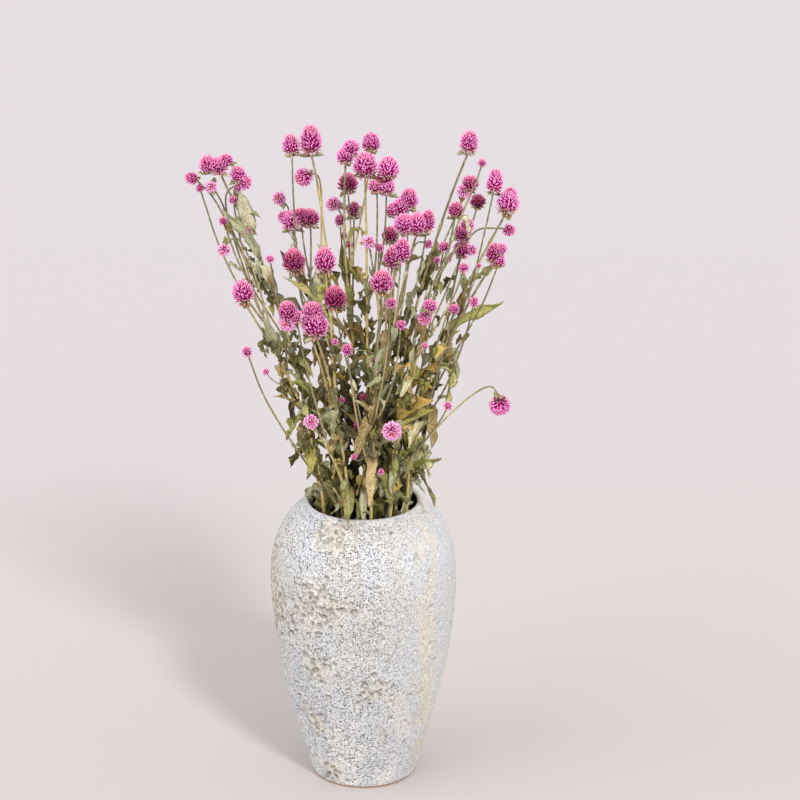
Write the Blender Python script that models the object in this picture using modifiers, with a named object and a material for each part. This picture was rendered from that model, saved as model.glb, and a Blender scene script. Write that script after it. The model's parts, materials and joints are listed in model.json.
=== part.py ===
"""A cratered stoneware vase holding a bunch of dried globe amaranth.

The vase is one turned, thick-walled shell. Leafy stems stand in it on their cut ends
and fan out above its mouth. Each stem is one grown body: its main stalk, its side
stalks, its leaves and its small unopened buds. The open flower heads are bodies of
their own on the stalks' tips, and heads that are pressed together are one body.

Metres, +Z up. The origin is the middle of the vase's flat foot. -Y is the front.
"""

import math
import random
from collections import namedtuple

import bmesh
import bpy
import numpy as np
from mathutils import Vector

MM = 0.001
UP = np.array((0.0, 0.0, 1.0))
# Pieces that touch keep this gap.
GAP = 0.3 * MM
SEED = 11

# The vase.
VASE_HEIGHT = 282.0 * MM
BELLY_HEIGHT = 205.0 * MM
BELLY_RADIUS = 88.8 * MM
FOOT_RADIUS = 49.0 * MM
MOUTH_RADIUS = 57.5 * MM
WALL = 6.4 * MM
FLOOR = 9.0 * MM
TURNED_STEPS = 28
SHOULDER_STEPS = 5
FLANK_STEPS = 6
LIP_STEPS = 5

# The stalks, from the cut end to the tip. Leaves and side stalks grow from joints.
STALK_RADIUS = 2.1 * MM
STALK_TIP_RADIUS = 0.95 * MM
SIDE_RADIUS = 1.05 * MM
SIDE_TIP_RADIUS = 0.75 * MM
JOINT_SWELL = 1.4
JOINT_SPACING = 56.0 * MM
LOWEST_JOINT = VASE_HEIGHT + 12.0 * MM
# The cut end stands this share of the way out to where the stalk passes the mouth.
CUT_END_SHARE = 0.5
STALK_SIDES = 4
SIDE_SIDES = 3
SIDE_STEPS = 4
ARCHED_STEPS = 6
# A side stalk leaves the main one this far below its head. Later tries go lower.
SIDE_DROP = (60.0 * MM, 100.0 * MM)
LOWER_DROP = 200.0 * MM
# A stalk's slanted tip stands this far under its head's base, or inside a bud's,
# which is one with it.
TIP_GAP = 0.6 * MM
SUNK = 2.0 * MM
TIP_FREE = 3.6 * MM

# The leaves.
BLADE = 0.75 * MM
LOW_LEAF = (34.0 * MM, 50.0 * MM)
HIGH_LEAF = (20.0 * MM, 32.0 * MM)
LEAF_SLIMNESS = (0.21, 0.30)
LEAF_STATIONS = (0.0, 0.22, 0.6, 1.0)
SMALL_LEAF_STATIONS = (0.0, 0.42, 1.0)
SMALL_LEAF = 42.0 * MM
RIB_POINTS = 11
LEAF_FOOT = 0.4
LEAF_FOLD = 0.4
LEAF_WAVE = 0.45
LEAF_WAVES = 1.7
# How far a leaf leans off its stalk and then bends over, in degrees: most have wilted
# and hang, and a share of them is still held up along the stalk.
WILTED_TILT = (30.0, 60.0)
WILTED_FALL = (90.0, 125.0)
HELD_SHARE = 0.3
HELD_TILT = (8.0, 24.0)
HELD_FALL = (0.0, 30.0)
# The share of its length that a leaf's bend takes, and how far it sways to one side
# and twists, in radians.
LEAF_BEND = 0.34
LEAF_SWAY = 0.5
LEAF_TWIST = 1.2
# Up to these shares of a stalk its joints carry a pair of leaves, low leaves and any
# leaf at all.
PAIRED_SHARE = 0.52
LOW_SHARE = 0.65
LEAFY_SHARE = 0.72

# The flower heads: the widths from which a head has so many columns and rings of
# bract tips, how deep the valleys between the tips are, and how far the tips stand out.
HEAD_MESH = ((18.0 * MM, 10, 6), (12.5 * MM, 8, 5), (9.0 * MM, 6, 4), (0.0, 6, 3))
BRACT_VALLEY = 0.80
BRACT_TIP = 1.06
PRESSED = 0.64
# A head's base lies this share of its height below its middle.
BASE_SHARE = 0.46
# A stem's main stalk ends under a head that faces up at least this much.
UPRIGHT = 0.8

# How far apart two pieces stay when their places are drawn, and how finely they are
# tested.
BREATH = 1.0 * MM
TEST_STEP = 3.0 * MM
LEAF_BALL = 1.9 * MM
LEAF_TESTS = (0.5, 0.95)
HEAD_TRIES = 60
STALK_TRIES = 240
SIDE_TRIES = 160
LEAF_TRIES = 14
SEEN_LEAF_TRIES = 24
HEAD_SHIFT = 3.0 * MM
STALK_SHIFT = 0.15 * MM
SEEN_LEAF_SHIFT = -2.5 * MM
# The body numbers of the vase, and of nothing at all.
VASE_BODY = -1
NO_BODY = -2

# The bunch is laid out on a front view, seen from EYE along a line that dips by
# EYE_DIP. A place in it is (across, down) in view units.
EYE = np.array((0.035, -3.0, 1.5))
EYE_DIP = math.radians(20.44)
VIEW_FOCUS = 3400.0
VIEW_MIDDLE = 400.0

# A head: its middle in the front view, its width and its height in view units, and
# the way that it faces where that isn't up along its stalk.
Head = namedtuple("Head", "across down width tall face", defaults=(None,))
# A leaf that has a place of its own: where it leaves the stalk and where its tip is
# in the front view, and its width in view units.
Seen = namedtuple("Seen", "root_down across down width")
# A leafy stem: where it passes the vase's mouth in millimetres, how far back its top
# stands in millimetres, its bunches of open heads, its buds and its placed leaves.
Stem = namedtuple("Stem", "name mouth depth bunches buds leaves", defaults=((), ()))

STEMS = (
    Stem("left_top", (-41, 2), -8, (
        (Head(219, 166, 19, 18), Head(206, 165, 16, 20), Head(226, 160, 13, 13)),
        (Head(238, 175, 15, 17), Head(247, 186, 15, 16, (0.8, -0.4, 0.3))),
        (Head(192, 178, 12, 14, (-0.7, -0.5, 0.5)),),
        (Head(211, 187, 13, 12, (-0.3, -0.9, 0.3)),),
    ), (
        Head(200, 188, 9, 10), Head(233, 200, 10, 9), Head(223, 221, 9, 9),
    ), (
        Seen(240, 240, 192, 16), Seen(262, 222, 208, 11), Seen(300, 256, 262, 13),
    )),
    Stem("left_low", (-37, -24), -48, (
        (Head(243, 293, 20, 26),),
        (Head(224, 250, 14, 14, (-0.3, -0.8, -0.5)),),
    ), (
        Head(270, 259, 9, 9), Head(247, 352, 10, 14),
    ), (
        Seen(420, 272, 396, 7), Seen(352, 262, 318, 12),
    )),
    Stem("tall", (-20, 8), 22, (
        (Head(311, 141, 20, 34),),
        (Head(291, 146, 16, 24),),
        (Head(304, 177, 18, 17, (-0.8, -0.5, -0.3)),),
    )),
    Stem("centre_left", (-26, 30), 62, (
        (Head(291, 221, 20, 22), Head(302, 215, 15, 16), Head(310, 219, 17, 20)),
        (Head(279, 198, 15, 14, (-0.35, -0.8, 0.45)),),
    ), (), (
        Seen(296, 280, 250, 9), Seen(300, 316, 268, 12),
    )),
    Stem("mid_left", (-20, -12), -42, (
        (Head(325, 261, 20, 27),),
        (Head(294, 262, 21, 27),),
    ), (), (
        Seen(288, 327, 250, 9), Seen(330, 282, 276, 9),
    )),
    Stem("low_left", (-14, -36), -88, (
        (Head(315, 325, 24, 30), Head(311, 304, 20, 20)),
        (Head(288, 312, 18, 22), Head(287, 331, 18, 19, (-0.3, -0.8, 0.1)),
         Head(298, 318, 13, 14)),
        (Head(311, 422, 17, 15, (0.1, -0.9, 0.3)),),
    )),
    Stem("back", (-6, 39), 92, (
        (Head(351, 148, 17, 18), Head(343, 160, 17, 18)),
        (Head(348, 184, 18, 22),),
        (Head(333, 204, 16, 15, (-0.4, -0.6, 0.5)),),
        (Head(354, 211, 13, 18),),
        (Head(371, 143, 17, 21),),
    ), (
        Head(340, 221, 11, 16), Head(349, 245, 9, 9),
    )),
    Stem("centre_top", (4, 16), 38, (
        (Head(365, 166, 22, 26),),
        (Head(388, 169, 20, 25), Head(380, 186, 14, 18), Head(390, 196, 17, 18),
         Head(366, 185, 20, 14)),
    )),
    Stem("centre_right", (17, 35), 84, (
        (Head(409, 200, 17, 23), Head(399, 209, 18, 20), Head(385, 214, 12, 15)),
        (Head(390, 236, 15, 18),),
    )),
    Stem("centre_front", (12, -6), -14, (
        (Head(417, 225, 20, 24), Head(400, 224, 20, 22), Head(428, 222, 14, 28)),
    ), (
        Head(428, 244, 10, 9, (0.5, 0.1, -0.4)),
    )),
    Stem("centre_mid", (1, -22), -56, (
        (Head(393, 258, 18, 24), Head(406, 248, 17, 28)),
        (Head(369, 242, 14, 14, (0.0, -0.8, 0.5)),),
    ), (
        Head(379, 248, 9, 11),
    )),
    Stem("front", (8, -42), -98, (
        (Head(382, 283, 21, 25),),
        (Head(335, 299, 20, 27),),
        (Head(392, 431, 20, 20, (0.1, -0.95, -0.1)),),
    ), (
        Head(347, 350, 11, 16), Head(391, 303, 12, 11), Head(401, 325, 10, 10),
    ), (
        Seen(478, 368, 508, 12),
    )),
    Stem("right_tall", (24, 16), 30, (
        (Head(469, 143, 17, 26),),
        (Head(464, 191, 15, 17, (0.0, -0.7, 0.6)), Head(473, 181, 16, 17)),
        (Head(478, 202, 15, 16),),
    )),
    Stem("right_outer", (42, 4), 8, (
        (Head(508, 203, 21, 26), Head(512, 189, 12, 13)),
        (Head(495, 183, 16, 26), Head(496, 171, 11, 12)),
    ), (
        Head(509, 230, 12, 16, (0.8, -0.2, -0.2)),
    ), (
        Seen(330, 504, 301, 14), Seen(285, 500, 262, 9),
    )),
    Stem("right_mid", (31, -14), -34, (
        (Head(463, 234, 17, 16), Head(469, 223, 14, 14)),
        (Head(456, 211, 15, 18),),
        (Head(462, 250, 17, 17), Head(475, 250, 13, 13, (0.5, -0.8, 0.1))),
    ), (
        Head(444, 247, 12, 12), Head(464, 268, 12, 10), Head(482, 163, 9, 9),
    ), (
        Seen(395, 458, 352, 8),
    )),
    Stem("right_edge", (40, -25), -58, (
        (Head(494, 254, 15, 24), Head(504, 247, 13, 12), Head(500, 262, 12, 16)),
    ), (
        Head(474, 302, 9, 15), Head(454, 309, 11, 11),
    ), (
        Seen(480, 442, 458, 9),
    )),
    Stem("right_low", (26, -37), -80, (
        (Head(430, 306, 15, 13),),
        (Head(500, 405, 21, 20, (0.15, -0.15, -1.0)),),
    ), (
        Head(448, 406, 9, 9), Head(425, 318, 14, 14, (-0.1, -0.9, -0.3)),
    ), (
        Seen(440, 434, 400, 20),
    )),
)

# One head or bud in its place, one stalk as points with radii, one leaf as its rib
# with the blade's half widths, sideways vectors and face vectors, and a whole stem.
Bloom = namedtuple("Bloom", "middle axis width tall")
Stalk = namedtuple("Stalk", "points radii")
Leaf = namedtuple("Leaf", "rib side face half phase")
Grown = namedtuple("Grown", "name stalk sides leaves bunches buds")


def unit(vector):
    return vector / np.linalg.norm(vector)


def turned(vector, axis, angle):
    """`vector` turned by `angle` about the unit vector `axis`."""
    along = axis * (axis @ vector) * (1.0 - math.cos(angle))
    return vector * math.cos(angle) + np.cross(axis, vector) * math.sin(angle) + along


def bow(start, leave, end, arrive, count):
    """Points of a cubic curve that leaves `start` and reaches `end` along vectors."""
    t = np.linspace(0.0, 1.0, count)[:, None]
    first = start * (1.0 - t) ** 3 + (start + leave) * 3.0 * t * (1.0 - t) ** 2
    return first + (end - arrive) * 3.0 * t * t * (1.0 - t) + end * t ** 3


def seen_place(across, down, depth):
    """The point `depth` behind the middle plane that the front view shows there, and
    the metres that one view unit is worth at that point."""
    forward = np.array((0.0, math.cos(EYE_DIP), -math.sin(EYE_DIP)))
    upward = np.array((0.0, math.sin(EYE_DIP), math.cos(EYE_DIP)))
    ray = forward + upward * ((VIEW_MIDDLE - down) / VIEW_FOCUS)
    ray[0] = (across - VIEW_MIDDLE) / VIEW_FOCUS
    reach = (depth - EYE[1]) / ray[1]
    return EYE + ray * reach, reach / VIEW_FOCUS


def read(points, marks, wanted):
    """The polyline's places at the wanted marks, where `marks` are its points' own."""
    return np.column_stack([np.interp(wanted, marks, column) for column in points.T])


def spaced(points, values, step):
    """The polyline and its values read again, a point every `step` or a bit less."""
    lengths = np.linalg.norm(np.diff(points, axis=0), axis=1)
    marks = np.concatenate([[0.0], np.cumsum(lengths)])
    wanted = np.linspace(0.0, marks[-1], int(marks[-1] / step) + 2)
    return read(points, marks, wanted), np.interp(wanted, marks, values)


class Room:
    """The space that is taken, as balls along each piece, with the piece's body."""

    def __init__(self):
        self.balls = np.zeros((0, 5))

    def take(self, middles, radii, body):
        radii = np.broadcast_to(radii, len(middles))
        rows = np.column_stack([middles, radii, np.full(len(middles), body)])
        self.balls = np.vstack([self.balls, rows])

    def clear(self, middles, radii, body, breath=BREATH):
        """Whether balls here would keep clear of every other body."""
        others = self.balls[self.balls[:, 4] != body]
        radii = np.broadcast_to(radii, len(middles))
        reach = radii.max() + breath + others[:, 3:4]
        above = others[:, :3] > middles.min(axis=0) - reach
        below = others[:, :3] < middles.max(axis=0) + reach
        near = others[(above & below).all(axis=1)]
        apart = np.linalg.norm(middles[:, None] - near[None, :, :3], axis=2)
        return bool((apart > radii[:, None] + near[None, :, 3] + breath).all())


def bloom_balls(bloom):
    """Middles and radii of the balls that fill a head."""
    radius = min(bloom.width, bloom.tall) / 2.0
    spare = abs(bloom.tall - bloom.width) / 2.0
    if bloom.tall >= bloom.width:
        shifts = [bloom.axis * spare * s for s in (-1.0, 0.0, 1.0)]
    else:
        side = unit(np.cross(bloom.axis, (0.3, 0.9, 0.1)))
        shifts = [turned(side, bloom.axis, k * math.pi / 3.0) * spare for k in range(6)]
    return np.array([bloom.middle + shift for shift in shifts]), radius * BRACT_TIP


def place_blooms(heads, mouth, depth):
    """Heads at one depth, each pulled to an earlier one until they press together."""
    blooms = []
    for head in heads:
        middle, unit_size = seen_place(head.across, head.down, depth)
        width, tall = head.width * unit_size, head.tall * unit_size
        lean = unit(middle - mouth)
        axis = unit(lean + 0.5 * UP) if head.face is None else unit(np.array(head.face))
        if blooms:
            near = min(blooms, key=lambda b: np.linalg.norm(b.middle - middle) - b.width)
            offset = middle - near.middle
            most = PRESSED * (min(width, tall) + min(near.width, near.tall)) / 2.0
            middle = near.middle + offset * min(1.0, most / np.linalg.norm(offset))
        blooms.append(Bloom(middle, axis, width, tall))
    return blooms


def fit_blooms(room, heads, mouth, depth, body):
    """The heads at the nearest depth where they are clear of what is there."""
    for step in range(HEAD_TRIES):
        shift = (step + 1) // 2 * HEAD_SHIFT * (-1.0 if step % 2 else 1.0)
        blooms = place_blooms(heads, mouth, depth + shift)
        if all(room.clear(*bloom_balls(bloom), body) for bloom in blooms):
            break
    for bloom in blooms:
        room.take(*bloom_balls(bloom), body)
    return blooms


def vase_profile():
    """(radius, height) down the vase's outer side, from under the lip to the foot."""
    belly = (BELLY_RADIUS, BELLY_HEIGHT)
    top = (MOUTH_RADIUS, VASE_HEIGHT - WALL / 2.0)
    shoulder = bow(
        np.array(top), np.array((16.0, -14.5)) * MM,
        np.array(belly), np.array((0.0, -42.0)) * MM, SHOULDER_STEPS,
    )
    flank = bow(
        np.array(belly), np.array((0.0, -80.0)) * MM,
        np.array((FOOT_RADIUS + 1.6 * MM, 2.0 * MM)), np.array((-15.0, -56.0)) * MM,
        FLANK_STEPS,
    )
    return np.vstack([shoulder, flank[1:]])


def take_vase(room, body):
    """The lip and the shoulder, which stalks and leaves keep off."""
    shoulder = vase_profile()[:SHOULDER_STEPS]
    profile, _ = spaced(shoulder, np.zeros(SHOULDER_STEPS), 4.0 * MM)
    rings = [(MOUTH_RADIUS - WALL / 2.0, VASE_HEIGHT - WALL / 2.0)]
    rings += [(radius - WALL / 2.0, height - WALL / 4.0) for radius, height in profile]
    for radius, height in rings:
        count = int(math.tau * radius / TEST_STEP)
        turn = np.linspace(0.0, math.tau, count, endpoint=False)
        heights = np.full(count, height)
        ring = np.column_stack([radius * np.cos(turn), radius * np.sin(turn), heights])
        room.take(ring, WALL / 2.0, body)


def stalk_path(mouth, top, slope, bulge, late, heights):
    """Where a main stalk passes each height: straight up to the vase's mouth, and from
    there in one even bend to its top, with `bulge` added on the way, later for a
    larger `late`."""
    share = (heights - mouth[2]) / (top[2] - mouth[2])
    above = np.clip(share, 0.0, 1.0)[:, None]
    rise = (heights - mouth[2])[:, None]
    bend = top - mouth - slope * (top[2] - mouth[2])
    swell = np.sin(math.pi * above ** late)
    path = mouth + slope * rise + bend * above ** 2 + bulge * swell
    path[:, 2] = heights
    return path


def grow_stalk(rng, room, stem, leaders, body):
    """The main stalk up to one of its leading heads, its joints' numbers and the head."""
    mouth = np.array((stem.mouth[0] * MM, stem.mouth[1] * MM, VASE_HEIGHT))
    foot_height = FLOOR + GAP
    slope = mouth * (1.0 - CUT_END_SHARE) / (VASE_HEIGHT - foot_height)
    slope[2] = 1.0
    tops = [b.middle - b.axis * (b.tall * BASE_SHARE + TIP_GAP) for b in leaders]
    top = tops[0]
    inside = [foot_height, 0.4 * VASE_HEIGHT, 0.75 * VASE_HEIGHT]
    first = LOWEST_JOINT + rng.uniform(0.0, 0.5) * JOINT_SPACING
    count = int((top[2] - 20.0 * MM - first) / JOINT_SPACING) + 1
    joints = [first + JOINT_SPACING * k for k in range(count)]
    outside = []
    for joint in joints:
        outside += [joint, joint + JOINT_SPACING / 2.0]
    if top[2] - outside[-1] < 12.0 * MM:
        outside.pop()
    numbers = [len(inside) + 2 * k for k in range(count)]
    for attempt in range(STALK_TRIES):
        top = tops[attempt % len(tops)]
        heights = np.array(inside + outside + [top[2]])
        radii = np.interp(heights, [0.0, top[2]], [STALK_RADIUS, STALK_TIP_RADIUS])
        radii[numbers] *= JOINT_SWELL
        reach = STALK_SHIFT * attempt
        angle = rng.uniform(0.0, math.tau)
        bulge = np.array((math.cos(angle), math.sin(angle), 0.0)) * reach
        path = stalk_path(mouth, top, slope, bulge, rng.uniform(1.0, 3.5), heights)
        places, thick = spaced(path, radii, TEST_STEP)
        keep = np.linalg.norm(places - top, axis=1) > TIP_FREE
        if room.clear(places[keep], thick[keep], body):
            break
    room.take(places, thick, body)
    return Stalk(path, radii), numbers, leaders[attempt % len(tops)]


def grow_side(rng, room, stalk, numbers, bloom, sunk, body):
    """A side stalk from one of the main stalk's joints to a head or bud, or None."""
    end = bloom.middle - bloom.axis * (bloom.tall * BASE_SHARE + TIP_GAP - sunk)
    for attempt in range(SIDE_TRIES):
        late = attempt / SIDE_TRIES
        drop = rng.uniform(SIDE_DROP[0], SIDE_DROP[1] + LOWER_DROP * late)
        ways = end - stalk.points[numbers]
        misses = np.abs(ways[:, 2] - drop - np.linalg.norm(ways[:, :2], axis=1))
        number = numbers[int(misses.argmin())]
        root = stalk.points[number]
        along = unit(root - stalk.points[number - 1])
        away = end - root
        length = np.linalg.norm(away)
        outward = away - along * (away @ along)
        outward = turned(unit(outward), along, rng.uniform(-1.0, 1.0) * (0.3 + late))
        leave = unit(along + outward * rng.uniform(0.1, 0.6 + late))
        leave = leave * length * rng.uniform(0.28, 0.45)
        arrive = bloom.axis * length * rng.uniform(0.15, 0.4)
        steps = SIDE_STEPS if unit(leave) @ bloom.axis > 0.5 else ARCHED_STEPS
        path = bow(root, leave, end, arrive, steps + 1)
        radii = np.linspace(SIDE_RADIUS, SIDE_TIP_RADIUS, steps + 1)
        places, thick = spaced(path, radii, TEST_STEP)
        keep = np.linalg.norm(places - end, axis=1) > TIP_FREE
        if room.clear(places[keep], thick[keep], body):
            room.take(places, thick, body)
            return Stalk(path, radii)
    return None


def leaf_row(leaf, across):
    """The blade's places beside its rib's points, at a share of its half width from -1
    to 1: it is folded up along its rib, and its edges wave."""
    along = np.linspace(0.0, 1.0, len(leaf.rib))
    wave = np.sin(leaf.phase + along * LEAF_WAVES * math.tau + across) * LEAF_WAVE
    lift = leaf.half * abs(across) * (LEAF_FOLD + wave * abs(across))
    beside = leaf.side * (leaf.half * across)[:, None]
    return leaf.rib + beside + leaf.face * lift[:, None]


def leaf_corners(leaf):
    """How far along the blade its cross sections stand, and the corners of its facets:
    those of one edge, of the rib and of the other edge."""
    marks = np.linspace(0.0, 1.0, len(leaf.rib))
    length = np.linalg.norm(np.diff(leaf.rib, axis=0), axis=1).sum()
    stations = SMALL_LEAF_STATIONS if length < SMALL_LEAF else LEAF_STATIONS
    rows = [read(leaf_row(leaf, across), marks, stations) for across in (-1.0, 0.0, 1.0)]
    return stations, rows


def leaf_balls(leaf, start=0.0):
    """Middles of the balls that cover a leaf's facets from a share of its length on."""
    stations, rows = leaf_corners(leaf)
    wanted = np.linspace(start, 1.0, RIB_POINTS)
    left, rib, right = [read(row, stations, wanted) for row in rows]
    beside = [rib + (edge - rib) * share for edge in (left, right) for share in LEAF_TESTS]
    return np.vstack([rib] + beside)


def leaf_fits(room, leaf, body):
    """Whether a leaf is clear of other stems, and past its foot of its own stem too."""
    if not room.clear(leaf_balls(leaf), LEAF_BALL, body, 0.0):
        return False
    return room.clear(leaf_balls(leaf, LEAF_FOOT), BLADE, NO_BODY, 0.0)


def shaped_leaf(rng, rib, side, width):
    """A leaf on a rib: slim at both ends, widest before its middle."""
    share = np.linspace(0.0, 1.0, len(rib))
    half = width / 2.0 * np.sin(math.pi * share ** 0.72) ** 0.65
    half = np.maximum(half, 0.7 * MM * (1.0 - share))
    ways = np.gradient(rib, axis=0)
    twist = rng.uniform(-LEAF_TWIST, LEAF_TWIST)
    sides, faces = [], []
    for way, part in zip(ways, share):
        across = side - unit(way) * (side @ unit(way))
        across = turned(unit(across), unit(way), twist * part)
        sides.append(across)
        faces.append(np.cross(unit(way), across))
    phase = rng.uniform(0.0, math.tau)
    return Leaf(rib, np.array(sides), np.array(faces), half, phase)


def leaf_rib(rng, root, along, outward, length):
    """The middle line of a leaf that has wilted over and hangs, or is still held up."""
    held = rng.random() < HELD_SHARE
    tilt = math.radians(rng.uniform(*(HELD_TILT if held else WILTED_TILT)))
    fall = math.radians(rng.uniform(*(HELD_FALL if held else WILTED_FALL)))
    sway = rng.uniform(-LEAF_SWAY, LEAF_SWAY)
    rib = [root]
    for k in range(RIB_POINTS - 1):
        share = k / (RIB_POINTS - 2)
        angle = tilt + fall * min(1.0, share / LEAF_BEND)
        way = along * math.cos(angle) + outward * math.sin(angle)
        way = turned(way, along, sway * share)
        rib.append(rib[-1] + way * length / (RIB_POINTS - 1))
    return np.array(rib)


def grow_leaf(rng, room, root, along, outward, sizes, body):
    """A leaf from one of the stalk's joints, clear of everything else, or None."""
    side = unit(np.cross(along, outward))
    for _ in range(LEAF_TRIES):
        length = rng.uniform(*sizes)
        width = length * rng.uniform(*LEAF_SLIMNESS)
        rib = leaf_rib(rng, root, along, outward, length)
        leaf = shaped_leaf(rng, rib, side, width)
        if leaf_fits(room, leaf, body):
            room.take(leaf_balls(leaf), LEAF_BALL, body)
            return leaf
    return None


def grow_seen_leaf(rng, room, stalk, seen, depth, body):
    """A leaf from the stalk to its own place in the front view, or None."""
    heights = stalk.points[:, 2]
    for attempt in range(SEEN_LEAF_TRIES):
        nearer = attempt * SEEN_LEAF_SHIFT
        tip, unit_size = seen_place(seen.across, seen.down, depth + nearer)
        root_height = seen_place(seen.across, seen.root_down, depth)[0][2]
        root_height = max(root_height, LOWEST_JOINT)
        root = read(stalk.points, heights, [root_height])[0]
        reach = np.linalg.norm(tip - root)
        rise = (UP + unit(tip - root)) * reach * 0.25
        tilt = unit(tip - root + rng.uniform(-0.4, 0.4) * reach * UP) * reach * 0.25
        rib = bow(root, rise, tip, tilt, RIB_POINTS)
        side = np.array((rng.uniform(-0.4, 0.4), 0.0, 0.0)) + np.cross(tip - root, (0, 1, 0))
        leaf = shaped_leaf(rng, rib, unit(side), seen.width * unit_size)
        if leaf_fits(room, leaf, body):
            room.take(leaf_balls(leaf), LEAF_BALL, body)
            return leaf
    return None


def grow_leaves(rng, room, stem, stalk, numbers, body):
    """Placed leaves, then those at the joints, each pair across the one below."""
    leaves = []
    depth = stem.depth * MM
    for seen in stem.leaves:
        leaves.append(grow_seen_leaf(rng, room, stalk, seen, depth, body))
    turn = rng.uniform(0.0, math.pi)
    for number in numbers:
        root = stalk.points[number]
        share = number / len(stalk.points)
        if share > LEAFY_SHARE:
            break
        along = unit(stalk.points[number + 1] - stalk.points[number - 1])
        first = unit(np.cross(along, (math.cos(turn), math.sin(turn), 0.0)))
        sizes = LOW_LEAF if share < LOW_SHARE else HIGH_LEAF
        for way in (first, -first)[:2 if share < PAIRED_SHARE else 1]:
            leaves.append(grow_leaf(rng, room, root, along, way, sizes, body))
        turn += math.pi / 2.0
    return [leaf for leaf in leaves if leaf is not None]


def grow_bunch():
    """Every stem of the bunch, placed so that no two bodies touch."""
    room = Room()
    take_vase(room, VASE_BODY)
    placed = []
    body = len(STEMS)
    for stem in STEMS:
        mouth = np.array((stem.mouth[0] * MM, stem.mouth[1] * MM, VASE_HEIGHT))
        bunches = []
        for heads in stem.bunches:
            bunches.append(fit_blooms(room, heads, mouth, stem.depth * MM, body))
            body += 1
        placed.append(bunches)
    buds = []
    for number, stem in enumerate(STEMS):
        mouth = np.array((stem.mouth[0] * MM, stem.mouth[1] * MM, VASE_HEIGHT))
        own = []
        for head in stem.buds:
            own += fit_blooms(room, (head,), mouth, stem.depth * MM, number)
        buds.append(own)
    rngs = [random.Random(SEED + number) for number in range(len(STEMS))]
    stalks = []
    for number, stem in enumerate(STEMS):
        leaders = [bloom for bloom in placed[number][0] if bloom.axis[2] > UPRIGHT]
        stalks.append(grow_stalk(rngs[number], room, stem, leaders, number))
    sides = []
    for number, stem in enumerate(STEMS):
        stalk, joints, leader = stalks[number]
        own = []
        wanted = [(bloom, 0.0) for bunch in placed[number] for bloom in bunch]
        wanted += [(bud, SUNK) for bud in buds[number]]
        for bloom, sunk in wanted:
            if bloom is not leader:
                own.append(grow_side(rngs[number], room, stalk, joints, bloom, sunk, number))
        sides.append([side for side in own if side is not None])
    grown = []
    for number, stem in enumerate(STEMS):
        stalk, joints, _ = stalks[number]
        leaves = grow_leaves(rngs[number], room, stem, stalk, joints, number)
        grown.append(
            Grown(stem.name, stalk, sides[number], leaves, placed[number], buds[number])
        )
    return grown


def clear_scene():
    for obj in list(bpy.data.objects):
        bpy.data.objects.remove(obj, do_unlink=True)


def own_material(name, colour, roughness):
    material = bpy.data.materials.new(name)
    material.use_nodes = True
    shader = material.node_tree.nodes["Principled BSDF"]
    shader.inputs["Base Color"].default_value = (*colour, 1.0)
    shader.inputs["Roughness"].default_value = roughness
    shader.inputs["Metallic"].default_value = 0.0
    material.diffuse_color = (*colour, 1.0)
    return material


def mesh_object(name, bm, collection):
    """An object of the finished bmesh, linked in the collection."""
    mesh = bpy.data.meshes.new(name)
    bm.to_mesh(mesh)
    bm.free()
    obj = bpy.data.objects.new(name, mesh)
    collection.objects.link(obj)
    return obj


def evaluated_mesh(obj):
    graph = bpy.context.evaluated_depsgraph_get()
    return bpy.data.meshes.new_from_object(obj.evaluated_get(graph), depsgraph=graph)


def make_vase(collection):
    """The turned shell: up its inside from the floor's middle, over the lip, down its
    outside and in under its flat foot."""
    outer = vase_profile()
    slopes = np.gradient(outer, axis=0)
    inward = np.column_stack([slopes[:, 1], -slopes[:, 0]])
    inward /= np.linalg.norm(inward, axis=1)[:, None]
    inner = outer + inward * WALL
    inner = inner[inner[:, 1] > FLOOR + 6.0 * MM][::-1]
    lip_middle = np.array((MOUTH_RADIUS - WALL / 2.0, VASE_HEIGHT - WALL / 2.0))
    lip = [
        lip_middle + WALL / 2.0 * np.array((-math.cos(turn), math.sin(turn)))
        for turn in np.linspace(0.0, math.pi, LIP_STEPS)
    ]
    inner = [place for place in inner if place[1] < lip[0][1] - 2.0 * MM]
    floor = [(0.0, FLOOR), (FOOT_RADIUS - WALL - 5.0 * MM, FLOOR)]
    foot = [(FOOT_RADIUS, 0.0), (0.0, 0.0)]
    profile = floor + [tuple(p) for p in inner] + [tuple(p) for p in lip]
    profile += [tuple(p) for p in outer[1:]] + foot
    mesh = bpy.data.meshes.new("vase")
    corners = [(radius, 0.0, height) for radius, height in profile]
    edges = [(k, k + 1) for k in range(len(corners) - 1)]
    mesh.from_pydata(corners, edges, [])
    vase = bpy.data.objects.new("vase", mesh)
    collection.objects.link(vase)
    screw = vase.modifiers.new("turned", "SCREW")
    screw.axis = "Z"
    screw.angle = math.tau
    screw.steps = TURNED_STEPS
    screw.render_steps = TURNED_STEPS
    screw.use_merge_vertices = True
    screw.merge_threshold = 0.01 * MM
    screw.use_smooth_shade = True
    mesh.materials.append(own_material("glazed stoneware", (0.72, 0.72, 0.71), 0.6))


def make_section(sides, collection):
    """A regular outline of unit radius, which a stalk's curve is drawn out with."""
    curve = bpy.data.curves.new("section", "CURVE")
    spline = curve.splines.new("POLY")
    spline.points.add(sides - 1)
    spline.use_cyclic_u = True
    for number, point in enumerate(spline.points):
        turn = math.tau * number / sides
        point.co = (math.cos(turn), math.sin(turn), 0.0, 1.0)
    section = bpy.data.objects.new("section", curve)
    section.hide_render = True
    section.display_type = "WIRE"
    collection.objects.link(section)
    return section


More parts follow.
